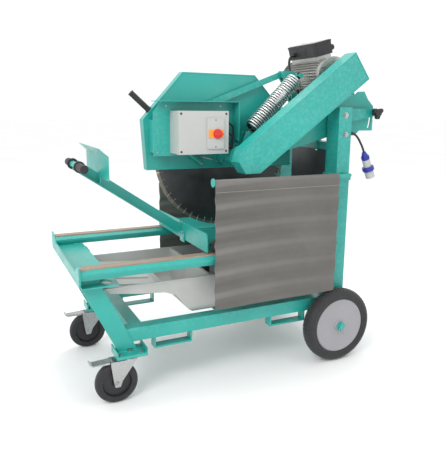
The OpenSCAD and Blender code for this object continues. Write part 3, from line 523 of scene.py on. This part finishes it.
tip = cord_pts[-1]
down = Vector((math.sin(math.radians(22)), 0, -math.cos(math.radians(22))))
bm = bmesh.new()
add_lathe(bm, [(0.0062, -0.004), (0.0105, -0.002), (0.0115, 0.004), (0.0140, 0.008), (0.0145, 0.012),
               (0.0185, 0.018), (0.0200, 0.024), (0.0205, 0.040), (0.0195, 0.042)], tip, down, 40)
for k in range(16):
    t = TAU * k / 16
    side = Y * math.cos(t) + down.cross(Y) * math.sin(t)
    add_cyl(bm, tip + down * 0.022 + side * 0.0203, tip + down * 0.039 + side * 0.0206, 0.0013, n=8)
nut = piece("plug_nut", bm, M["blue_plastic"], "frame")
bm = bmesh.new()
add_lathe(bm, [(0.0205, 0.0825), (0.0295, 0.0835), (0.0310, 0.087), (0.0310, 0.101), (0.0295, 0.1055),
               (0.0240, 0.1058)], tip, down, 48)
for k in range(24):
    t = TAU * k / 24
    side = Y * math.cos(t) + down.cross(Y) * math.sin(t)
    add_cyl(bm, tip + down * 0.085 + side * 0.0302, tip + down * 0.104 + side * 0.0302, 0.0014, n=8)
ring = piece("plug_collar", bm, M["blue_plastic"], "frame")
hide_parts("plug_ring")
bm = bmesh.new()
add_lathe(bm, [(0.0190, 0.0415), (0.0208, 0.044), (0.0210, 0.079), (0.0200, 0.0825)], tip, down, 48)
add_lathe(bm, [(0.0228, 0.1055), (0.0240, 0.108), (0.0240, 0.1445), (0.0226, 0.146), (0.0205, 0.146),
               (0.0205, 0.110)], tip, down, 48)
for k in range(3):
    t = TAU * k / 3
    side = Y * math.cos(t) + down.cross(Y) * math.sin(t)
    add_cyl(bm, tip + down * 0.11 + side * 0.011, tip + down * 0.140 + side * 0.011, 0.003, n=16)
shell = piece("plug_shell", bm, M["box_grey"], "frame")
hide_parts("plug_body")

# ---------------------------------------------------------------- curtains
def curtain(name, side, node):
    """A hanging sheet with a sleeve round its rod, still creased across from being rolled up."""
    y = side * 0.382
    nx, nz = 110, 170
    bm = bmesh.new()
    sleeve = [(SLEEVE_R * math.cos(math.radians(a)), ROD_Z + SLEEVE_R * math.sin(math.radians(a)))
              for a in range(-60, 181, 16)]
    grid = []
    for i in range(nx + 1):
        u = i / nx
        x = CURTAIN_FRONT + CURTAIN_LENGTH * u
        low = 0.396 + 0.005 * u
        column = [bm.verts.new((x, y - side * sy, sz)) for sy, sz in sleeve]
        top = sleeve[-1][1]
        for k in range(1, nz + 1):
            v = k / nz
            z = top - (top - low) * v
            grow = min(1.0, v * 5.0)
            fade = (0.35 + 0.65 * math.exp(-u * 1.9)) * (1.0 - 0.35 * v)
            phase = v * FOLDS + 0.16 * math.sin(u * 2.6 + 0.4) + 0.06 * math.sin(u * 9.0 + v * 4.0)
            crease = 0.0060 * math.sin(TAU * phase) + 0.0024 * math.sin(4 * math.pi * phase + 0.8)
            ripple = 0.0007 * math.sin(TAU * (v * 14.5 + 0.5 * math.sin(u * 3.1)))
            swing = 0.0022 * math.sin(TAU * (u * 1.2 - 0.1 * v + 0.30)) * v
            off = side * (SLEEVE_R + 0.0005 + grow * (fade * (crease + ripple) + swing))
            column.append(bm.verts.new((x + 0.0016 * v * math.sin(3.0 * v + 1.0), y + off,
                                        z - 0.0016 * math.sin(math.pi * u) * v)))
        grid.append(column)
    for a, b in zip(grid, grid[1:]):
        for k in range(len(a) - 1):
            bm.faces.new((a[k], a[k + 1], b[k + 1], b[k]))
    ob = piece(name, bm, M["curtain"], None)
    thick = ob.modifiers.new("thickness", "SOLIDIFY")
    thick.thickness = 0.0016
    thick.offset = 0
    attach(ob, "frame")
    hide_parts(node)


curtain("curtain_sheet_near", -1, "curtain_near")
curtain("curtain_sheet_far", 1, "curtain_far")

# ---------------------------------------------------------------- balance spring
low, high = Vector((0.093, 0, 1.228)), Vector((0.362, 0, 1.492))
axis = (high - low).normalized()
across = Y
other = axis.cross(across)
length = (high - low).length
turns, coil_r, wire = 27, 0.0390, 0.0046
base = Vector((low.x, SPRING_Y, low.z))
pts = []
low_pin, high_pin = Vector((0.074, SPRING_Y, 1.209)), Vector((0.373, SPRING_Y, 1.503))
for k in range(15):
    t = math.radians(250 - k * 17)
    pts.append(low_pin + (axis * math.cos(t) + other * math.sin(t)) * 0.0112)
for k in range(turns * 20 + 1):
    f = k / (turns * 20)
    t = TAU * turns * f + math.pi
    lift = 0.006 + f * (length - 0.012)
    shrink = min(1, f * turns / 1.3 + 0.25, (1 - f) * turns / 1.3 + 0.25)
    pts.append(base + axis * lift + (across * math.cos(t) + other * math.sin(t)) * coil_r * shrink)
for k in range(15):
    t = math.radians(200 + k * 17)
    pts.append(high_pin + (axis * math.cos(t) + other * math.sin(t)) * 0.0120)
bm = bmesh.new()
add_tube(bm, pts, wire, 8)
coil = piece("spring_coil", bm, spring_material(tuple(base), tuple(across), tuple(other), coil_r), None)
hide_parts("balance_spring")
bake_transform(coil)

# ---------------------------------------------------------------- rounded edges on the CAD nodes
EDGE_WIDTH = {
    "base_frame": 0.0035, "front_legs": 0.0030, "lower_posts": 0.0040, "upper_posts": 0.0035,
    "table_frame": 0.0016, "rear_beam": 0.0030, "arm": 0.0012, "belt_cover": 0.0022,
    "blade_guard": 0.0013, "box_carrier": 0.0008, "trolley_frame": 0.0012, "fence_plates": 0.0012,
    "push_bar": 0.0012, "hand_guard": 0.0008, "head_bracket": 0.0014, "link_bar": 0.0014,
    "control_box": 0.0022, "terminal_box": 0.0040, "switch_knob": 0.0020, "water_tray": 0.0022,
    "wear_strips": 0.0009, "castor_fork_near": 0.0012, "castor_fork_far": 0.0012,
    "brake_pedal_near": 0.0010, "brake_pedal_far": 0.0010, "star_knob": 0.0016}
for name, width in EDGE_WIDTH.items():
    mod = N[name].modifiers.new("edge", "BEVEL")
    mod.width = width
    mod.segments = 2
    mod.limit_method = "ANGLE"
    mod.angle_limit = math.radians(40)


# ---------------------------------------------------------------- wheels and castors
def tyre(name, centre, profile, lugs, depth, body, node, n=216, tread_from=0.97):
    """A tyre turned from a closed profile of (radius, y), with lug grooves cut across the tread."""
    cx, cy, cz = centre
    outer = max(r for r, _ in profile)
    half = max(abs(w) for _, w in profile)
    bm = bmesh.new()
    rings = []
    for k in range(n):
        t = TAU * k / n
        ring = []
        for r, w in profile:
            if r > outer * tread_from and lugs:
                phase = (t * lugs / (TAU) + abs(w) / half * 0.9) % 1.0
                if phase < 0.34 and abs(w) > half * 0.14:
                    r = r - depth
            ring.append(bm.verts.new((cx + r * math.sin(t), cy + w, cz + r * math.cos(t))))
        rings.append(ring)
    m = len(profile)
    for a, b in zip(rings, rings[1:] + rings[:1]):
        for i in range(m):
            bm.faces.new((a[i], a[(i + 1) % m], b[(i + 1) % m], b[i]))
    ob = piece(name, bm, M["tyre"], body)
    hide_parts(node)


h = 0.038
rear_profile = [(0.146, -h + 0.008), (0.148, -h + 0.0035), (0.154, -h + 0.0015), (0.156, -h + 0.0030),
                (0.159, -h + 0.0030), (0.161, -h + 0.001), (0.168, -h), (0.170, -h + 0.0018),
                (0.174, -h + 0.0018), (0.176, -h), (0.184, -h + 0.003), (0.190, -h + 0.006),
                (0.1945, -h + 0.011), (0.1975, -h + 0.018), (0.1990, -0.014), (0.1996, -0.008),
                (0.1965, -0.0068), (0.1965, -0.0052), (0.1998, -0.004), (0.2000, 0.0)]
rear_profile += [(r, -w) for r, w in reversed(rear_profile[:-1])]
c = 0.020
castor_profile = [(0.074, -c), (0.079, -c), (0.080, -c + 0.0012), (0.083, -c + 0.0012), (0.084, -c),
                  (0.090, -c + 0.0005), (0.0945, -c + 0.0025), (0.0975, -c + 0.006), (0.0993, -0.0085),
                  (0.0999, -0.004), (0.1000, 0.0)]
castor_profile += [(r, -w) for r, w in reversed(castor_profile[:-1])]
for tag, s in SIDES:
    tyre("tyre_rear_" + tag, (REAR_X, s * REAR_Y, REAR_Z), rear_profile, 54, 0.0024,
         "rear_wheel_" + tag, "rear_tyre_" + tag, n=324)
    tyre("tyre_castor_" + tag, (CASTOR_X, s * CASTOR_Y, CASTOR_Z), castor_profile, 0, 0,
         "castor_wheel_" + tag, "castor_tyre_" + tag, n=96)
    # pressed disc with a raised rim and a hub
    bm = bmesh.new()
    half = [(0.0151, 0.0379), (0.0270, 0.0379), (0.0285, 0.0365), (0.0300, 0.0300), (0.0360, 0.0290),
            (0.0700, 0.0300), (0.1100, 0.0312), (0.1300, 0.0322), (0.1340, 0.0335), (0.1390, 0.0338),
            (0.1440, 0.0325), (0.1460, 0.0300)]
    ring_pts = half + [(r, -w) for r, w in reversed(half)]
    add_lathe(bm, ring_pts, (REAR_X, s * REAR_Y, REAR_Z), (0, 1, 0), 96, close=True)
    disc = piece("disc_rear_" + tag, bm, M["wheel_grey"], "rear_wheel_" + tag)
    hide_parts("rear_disc_" + tag)
    # drop ring of the linch pin through the axle end
    bm = bmesh.new()
    loop = [(REAR_X + 0.017 * math.sin(TAU * k / 28), s * 0.4335,
             0.1795 + 0.024 * math.cos(TAU * k / 28)) for k in range(28)]
    add_tube(bm, loop, 0.0016, 8, closed=True)
    pin = piece("axle_pin_ring_" + tag, bm, M["zinc"], "frame")
    # dust ring of the castor's swivel head, then the washers and nuts of its axle
    bm = bmesh.new()
    add_lathe(bm, [(0.0325, 0.2145), (0.0345, 0.2155), (0.0345, 0.2195), (0.0325, 0.2205)],
              (SWIVEL_X, s * CASTOR_Y, 0), (0, 0, 1), 48)
    seal = piece("swivel_ring_" + tag, bm, M["red_plastic"], "castor_" + tag)
    bm = bmesh.new()
    for sy in (-1, 1):
        add_lathe(bm, [(0.0135, 0), (0.0135, 0.002), (0.0118, 0.0025)],
                  (CASTOR_X, s * CASTOR_Y + sy * 0.0320, CASTOR_Z), (0, sy, 0), 24)
        add_lathe(bm, [(0.0060, 0), (0.0060, 0.0028), (0.0050, 0.0034)],
                  (CASTOR_X, s * CASTOR_Y + sy * 0.0398, CASTOR_Z), (0, sy, 0), 16)
    wash = piece("castor_washers_" + tag, bm, M["zinc"], "castor_" + tag)
    # tread ribs on the brake pedal
    bm = bmesh.new()
    for k in range(4):
        x = -0.758 - 0.008 * k
        add_box(bm, (x - 0.0015, s * CASTOR_Y - 0.021, 0.2060), (x + 0.0015, s * CASTOR_Y + 0.021, 0.2088))
    ribs = piece("pedal_ribs_" + tag, bm, M["zinc"], "pedal_" + tag, bevel=0.0005)


# ---------------------------------------------------------------- welds
def bead(name, runs, body, r=0.0032):
    """Rippled weld beads along straight runs."""
    bm = bmesh.new()
    for a, b in runs:
        a, b = Vector(a), Vector(b)
        count = max(3, int((b - a).length / 0.0042))
        pts = [a + (b - a) * (k / count) for k in range(count + 1)]
        add_tube(bm, pts, [r * (1.0 + 0.16 * math.sin(k * 2.4)) for k in range(count + 1)], 7)
    ob = piece(name, bm, M["teal"], body)


runs = []
for tag, s in SIDES:
    y0, y1 = s * 0.266, s * 0.326
    runs += [((0.502, y0, 0.346), (0.502, y1, 0.346)), ((0.502, y1, 0.346), (0.586, y1, 0.346)),
             ((-0.5995, y1, 0.281), (-0.630, y1, 0.346)), ((-0.5995, y0, 0.281), (-0.630, y0, 0.346)),
             ((-0.826, y0, 0.572), (-0.737, y0, 0.572)), ((-0.826, y1, 0.572), (-0.737, y1, 0.572)),
             ((-0.669, y0, 0.240), (-0.580, y0, 0.240)), ((-0.669, y1, 0.240), (-0.580, y1, 0.240)),
             ((-0.606, s * 0.2655, 0.281), (-0.606, s * 0.2655, 0.345)),
             ((0.502, s * 0.2655, 0.283), (0.502, s * 0.2655, 0.345))]
    for x in (-0.496, -0.304, 0.132, 0.345):
        runs.append(((x, s * 0.271, 0.281), (x, s * 0.321, 0.281)))
bead("welds_base", runs, "frame")
runs = [((0.508, s * 0.2235, z), (0.578, s * 0.2235, z)) for s in (-1, 1) for z in (1.122, 1.165)]
runs += [((0.502, y, 1.165), (0.572, y, 1.165)) for y in (-0.085, -0.034)]
bead("welds_posts", runs, "frame")
runs = [((-0.661, -0.0102, 0.984), (-0.661, -0.0102, 1.020)),
        ((-0.2455, -0.0112, 0.694), (-0.2455, -0.0112, 0.742))]
bead("welds_bar", runs, "trolley", 0.0022)

# ---------------------------------------------------------------- bolts and screws
bm = bmesh.new()
for s in (-1, 1):
    add_lathe(bm, [(0.0150, 0), (0.0147, 0.0016)], (0.551, s * 0.3241, 1.208), (0, s, 0), 32)
posts = piece("post_washers", bm, M["zinc"], "frame")

bm = bmesh.new()
for z in (0.674, 0.706):
    bolt(bm, (-0.2451, -0.044, z), (-1, 0, 0), 0.0060, 0.0045, washer=False)
for y in (0.060, 0.300):
    bolt(bm, (-0.2381, y, 0.684), (-1, 0, 0), 0.0050, 0.0035, washer=False)
fence_bolts = piece("fence_bolts", bm, M["zinc"], "trolley")

bm = bmesh.new()
for s in (-1, 1):
    for x in (-0.188, 0.262):
        add_lathe(bm, [(0.0135, 0), (0.0135, 0.0015), (0.0085, 0.0030), (0.0082, 0.0052)],
                  (x, s * 0.3465, 0.6923), (0, s, 0), 24)
caps = piece("roller_caps", bm, M["zinc"], "trolley")


# ---------------------------------------------------------------- lips of the guards
def rim(name, outline, y0, y1, t, body):
    """A folded lip of width t that follows a closed outline in X and Z."""
    bm = bmesh.new()
    n = len(outline)
    cx = sum(p[0] for p in outline) / n
    cz = sum(p[1] for p in outline) / n
    rows = []
    for y, inner in ((y0, False), (y1, False), (y1, True), (y0, True)):
        row = []
        for i in range(n):
            p = Vector(outline[i])
            a = (p - Vector(outline[i - 1])).normalized()
            b = (Vector(outline[(i + 1) % n]) - p).normalized()
            na, nb = Vector((-a.y, a.x)), Vector((-b.y, b.x))
            bis = (na + nb).normalized()
            reach = (t if inner else 0.0) / max(0.3, bis.dot(nb))
            q = p + bis * reach
            row.append(bm.verts.new((q.x, y, q.y)))
        rows.append(row)
    for a, b in zip(rows, rows[1:] + rows[:1]):
        for i in range(n):
            bm.faces.new((a[i], a[(i + 1) % n], b[(i + 1) % n], b[i]))
    ob = piece(name, bm, M["teal"], body, bevel=0.0006, smooth=False)


cover_line = [(-0.073, 1.086), (-0.039, 1.031), (0.041, 1.032), (0.664, 1.487), (0.569, 1.613),
              (-0.053, 1.145)]
rim("cover_lip", cover_line, -0.3462, -0.3445, 0.0045, "arm_body")

# ---------------------------------------------------------------- motor
tilt = math.radians(15.3)
along = Vector((math.cos(tilt), 0, math.sin(tilt)))
normal = Vector((-math.sin(tilt), 0, math.cos(tilt)))
motor_at = Vector((0.545, 0, 1.503))
bm = bmesh.new()
fins = 44
for k in range(fins):
    t = TAU * k / fins
    out = along * math.cos(t) + normal * math.sin(t)
    if out.dot(normal) < -0.80 or out.dot(normal) > 0.86:
        continue
    tangent = out.cross(Y)
    rot = Matrix((tangent, Y, out)).transposed().to_4x4()
    rot.translation = motor_at
    add_box(bm, (-0.0013, -0.178, 0.0952), (0.0013, 0.092, 0.1085), rot)
fin = piece("motor_fins", bm, M["motor_alu"], "arm_body", bevel=0.0005, segments=1)
bm = bmesh.new()
add_lathe(bm, [(0.0985, 0.095), (0.1000, 0.097), (0.1000, 0.145), (0.0960, 0.1515), (0.0600, 0.1525),
               (0.0600, 0.1500), (0.0950, 0.1490), (0.0975, 0.1430), (0.0975, 0.096)],
          motor_at, Y, 64, close=True)
grille_turns = [TAU * k / 40 for k in range(40)]
for radius in (0.016, 0.027, 0.038, 0.049, 0.060):
    loop = [motor_at + Y * 0.1515 + (along * math.cos(t) + normal * math.sin(t)) * radius for t in grille_turns]
    add_tube(bm, loop, 0.0016, 6, closed=True)
for k in range(6):
    t = TAU * k / 6
    out = along * math.cos(t) + normal * math.sin(t)
    add_tube(bm, [motor_at + Y * 0.1510 + out * 0.003, motor_at + Y * 0.1510 + out * 0.061], 0.0017, 6)
fan = piece("motor_fan_cover", bm, M["black_plastic"], "arm_body")
bm = bmesh.new()
for k in range(4):
    t = math.radians(45 + 90 * k)
    out = along * math.cos(t) + normal * math.sin(t)
    bolt(bm, motor_at - Y * 0.2110 + out * 0.086, (0, -1, 0), 0.0065, 0.005)
for x, y in ((-0.079, -0.13), (-0.079, 0.03), (0.079, -0.13), (0.079, 0.03)):
    bolt(bm, motor_at + along * x + normal * (-0.062) + Y * y, normal, 0.0085, 0.006)
feet = piece("motor_bolts", bm, M["zinc"], "arm_body")
# terminal box lid
rot = Matrix((along, Y, normal)).transposed().to_4x4()
rot.translation = motor_at
bm = bmesh.new()
add_box(bm, (-0.0440, -0.1460, 0.1825), (0.0540, 0.0960, 0.1856), rot)
lid = piece("terminal_lid", bm, M["lid_grey"], "arm_body", bevel=0.0012, segments=3)
bm = bmesh.new()
for x in (-0.036, 0.046):
    for y in (-0.138, 0.088):
        add_lathe(bm, [(0.0055, 0), (0.0055, 0.0010), (0.0038, 0.0022)],
                  rot @ Vector((x, y, 0.1856)), normal, 16)
lid_screws = piece("terminal_lid_screws", bm, M["zinc"], "arm_body")
# moulded panels on the box's sides, then the two glands and the lead
bm = bmesh.new()
for y0 in (-0.1400, -0.0600, 0.0200):
    add_box(bm, (-0.0492, y0, 0.1220), (-0.0478, y0 + 0.0700, 0.1640), rot)
add_box(bm, (-0.0380, -0.1512, 0.1220), (0.0480, -0.1498, 0.1640), rot)
panels = piece("terminal_panels", bm, M["black_plastic"], "arm_body", bevel=0.0006)
bm = bmesh.new()
gland_at = rot @ Vector((0.0585, -0.120, 0.140))
lead_at = rot @ Vector((-0.0482, 0.050, 0.138))
add_lathe(bm, [(0.0175, 0.0), (0.0180, 0.010), (0.0165, 0.012)], gland_at, along, 6)
add_lathe(bm, [(0.0150, 0.012), (0.0155, 0.024), (0.0120, 0.0295)], gland_at, along, 24)
add_lathe(bm, [(0.0130, 0.0), (0.0132, 0.010), (0.0105, 0.015)], lead_at, -along, 6)
nuts = piece("terminal_glands", bm, M["black_plastic"], "arm_body")
motor_lead = hose("motor_lead", [rot @ Vector(p) for p in (
    (-0.056, 0.050, 0.138), (-0.072, 0.048, 0.136), (-0.092, 0.040, 0.122), (-0.108, 0.028, 0.092),
    (-0.116, 0.014, 0.050), (-0.114, 0.002, 0.004), (-0.106, -0.004, -0.045), (-0.098, -0.006, -0.095),
    (-0.090, -0.006, -0.111))], 0.0068, M["black_rubber"], "arm_body")

# ---------------------------------------------------------------- control box and switch
bm = bmesh.new()
for x in (-0.313, -0.082):
    for z in (1.133, 1.309):
        add_lathe(bm, [(0.0052, 0), (0.0052, 0.0010), (0.0042, 0.0018)], (x, -0.2180, z), (0, -1, 0), 20)
box_screws = piece("box_screws", bm, M["black_plastic"], "guard")
bm = bmesh.new()
for z in (1.154, 1.280):
    add_lathe(bm, [(0.0030, 0), (0.0030, 0.0008), (0.0022, 0.0016)], (-0.140, -0.2260, z), (0, -1, 0), 14)
plate_screws = piece("switch_plate_screws", bm, M["black_plastic"], "guard")
bm = bmesh.new()
add_box(bm, (-0.178, -0.2285, 1.196), (-0.101, -0.2262, 1.236))
esc = piece("switch_escutcheon", bm, M["orange"], "guard", bevel=0.0012, segments=3)
bm = bmesh.new()
add_lathe(bm, [(0.0235, 0), (0.0235, 0.0030), (0.0225, 0.0045)], (-0.131, -0.2263, 1.215), (0, -1, 0), 40)
skirt = piece("switch_skirt", bm, M["red_plastic"], "guard")
# glands on the box's rear side, each with a cable that runs down behind the box
for i, z in enumerate((1.169, 1.219, 1.269)):
    bm = bmesh.new()
    gland_at = (-0.0705, -0.150, z)
    add_lathe(bm, [(0.0115, 0), (0.0115, 0.006)], gland_at, (1, 0, 0), 6)
    add_lathe(bm, [(0.0098, 0.006), (0.0100, 0.016), (0.0080, 0.0235), (0.0055, 0.0245)],
              gland_at, (1, 0, 0), 24)
    gland = piece("box_gland_%d" % i, bm, M["black_plastic"], "guard")
    y = -0.150 + 0.013 * (i - 1)
    route = [(-0.0465, -0.150, z), (-0.0370, (y - 0.150) / 2, z - 0.003),
             (-0.0240 + 0.007 * i, y, z - 0.020), (-0.0190 + 0.007 * i, y, z - 0.045),
             (-0.0200 + 0.003 * i, y, 1.1480 - 0.002 * i), (-0.0210, y, 1.1400)]
    cable = hose("box_cable_%d" % i, route, 0.0046, M["black_rubber"], "guard")

# ---------------------------------------------------------------- guard: carrier bolts, seams and handle grip
bm = bmesh.new()
for x, z in ((-0.392, 1.298), (-0.392, 1.122), (-0.060, 1.345), (-0.345, 1.345), (-0.040, 1.232)):
    bolt(bm, (x, -0.1001, z), (0, -1, 0), 0.0042, 0.0030, washer=False)
carrier_bolts = piece("carrier_bolts", bm, M["zinc"], "guard")
guard_line = [(-0.422, 1.032), (0.405, 1.028), (0.405, 1.262), (0.174, 1.505), (-0.230, 1.508),
              (-0.438, 1.279)]
rim("guard_seam_near", guard_line, -0.0272, -0.0258, 0.0060, "guard")
rim("guard_seam_far", guard_line, 0.0258, 0.0272, 0.0060, "guard")
lean = math.radians(47.8)
grip_dir = Vector((-math.sin(lean), 0, math.cos(lean)))
foot = Vector((-0.398, 0, 1.3231))
bm = bmesh.new()
prof = [(0.0170, 0.0002), (0.0172, 0.004), (0.0150, 0.009)]
for k in range(9):
    a = 0.014 + k * 0.0112
    prof += [(0.0138, a), (0.0148, a + 0.0030), (0.0148, a + 0.0070), (0.0138, a + 0.0100)]
prof += [(0.0145, 0.1170), (0.0162, 0.1190), (0.0158, 0.1215), (0.0120, 0.1228)]
add_lathe(bm, prof, foot, grip_dir, 40)
grip = piece("guard_grip", bm, M["black_rubber"], "guard")
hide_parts("guard_handle")

# ---------------------------------------------------------------- push handle grips
bar_head = Vector((-0.762, -0.008, 1.067))
bm = bmesh.new()
for s in (-1, 1):
    prof = [(0.0152, 0.0800), (0.0265, 0.0803), (0.0270, 0.0840), (0.0262, 0.0876), (0.0196, 0.0890)]
    for k in range(12):
        a = 0.0920 + k * 0.0085
        prof += [(0.0180, a), (0.0191, a + 0.0022), (0.0191, a + 0.0052), (0.0180, a + 0.0074)]
    prof += [(0.0190, 0.1965), (0.0186, 0.1990), (0.0130, 0.2000)]
    add_lathe(bm, prof, bar_head, (0, s, 0), 44)
grips = piece("push_grips", bm, M["black_rubber"], "trolley")
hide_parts("handle_grips")

# ---------------------------------------------------------------- water pipe, grease line and pump
pipe = hose("water_pipe", [(-0.228, -0.0300, 1.132), (-0.222, -0.0480, 1.118), (-0.198, -0.0600, 1.099),
                           (-0.170, -0.0600, 1.079), (-0.143, -0.0600, 1.059)], 0.0078, M["teal"], "guard")
grease = hose("grease_line", [(-0.170, -0.0300, 1.104), (-0.150, -0.0900, 1.094), (-0.120, -0.1100, 1.086),
                              (-0.080, -0.1140, 1.074), (-0.048, -0.1130, 1.068), (-0.0345, -0.1120, 1.071)],
              0.0024, M["zinc"], "guard")
bm = bmesh.new()
add_lathe(bm, [(0.0105, 0), (0.0105, 0.008), (0.0085, 0.011)], (-0.228, -0.0262, 1.133), (0, -1, 0), 6)
add_lathe(bm, [(0.0090, -0.006), (0.0092, 0.003), (0.0060, 0.005), (0.0058, 0.010)], (-0.143, -0.0600, 1.059),
          (0.806, 0, -0.592), 20)
noz = piece("water_fittings", bm, M["zinc"], "guard")

# pump outlet elbow inside the tray
bm = bmesh.new()
elbow = [(-0.060, 0.120, 0.4740), (-0.060, 0.120, 0.4860), (-0.055, 0.128, 0.5000),
         (-0.040, 0.150, 0.5100), (-0.010, 0.190, 0.5150), (0.030, 0.230, 0.5160)]
add_tube(bm, smooth_path(elbow, 6), 0.0075, 14)
pump_hose = piece("pump_hose", bm, M["black_rubber"], "frame")
# bars of the strainer round the pump's foot
bm = bmesh.new()
bar = 0.0025
for k in range(20):
    t = TAU * k / 20
    x, y = -0.060 + 0.0478 * math.cos(t), 0.120 + 0.0478 * math.sin(t)
    add_box(bm, (x - bar, y - bar, 0.3590), (x + bar, y + bar, 0.3710))
strainer = piece("pump_strainer", bm, M["black_plastic"], "frame", bevel=0.0006)

# ---------------------------------------------------------------- floor and light
bm = bmesh.new()
bmesh.ops.create_grid(bm, x_segments=1, y_segments=1, size=60)
floor = piece("floor", bm, None, None, smooth=False)
fm = Mat("floor_white")
fm.base(fm.ramp(fm.noise(0.7, 2), [(0.3, (0.90, 0.90, 0.90)), (0.7, (0.93, 0.93, 0.93))]))
fm.set(Roughness=0.8)
floor.data.materials.append(fm.m)

world = bpy.data.worlds.new("world")
scene.world = world
world.use_nodes = True
scene.view_settings.view_transform = "Standard"
surround = world.node_tree.nodes["Background"]
surround.inputs["Color"].default_value = (1.0, 1.0, 1.0, 1)
surround.inputs["Strength"].default_value = 1.08


def area(name, at, look, size, power):
    data = bpy.data.lights.new(name, "AREA")
    data.shape = "RECTANGLE"
    data.size, data.size_y = size
    data.energy = power
    ob = bpy.data.objects.new(name, data)
    scene.collection.objects.link(ob)
    ob.location = at
    ob.rotation_euler = (Vector(look) - Vector(at)).to_track_quat("-Z", "Y").to_euler()


area("key", (-3.2, -2.6, 3.6), (0, 0, 0.9), (2.0, 2.0), 95)
area("fill", (2.6, -3.6, 2.2), (0, 0, 0.9), (2.6, 2.0), 8)
area("top", (0.2, 0.6, 4.4), (0, 0, 0.6), (2.0, 2.0), 60)
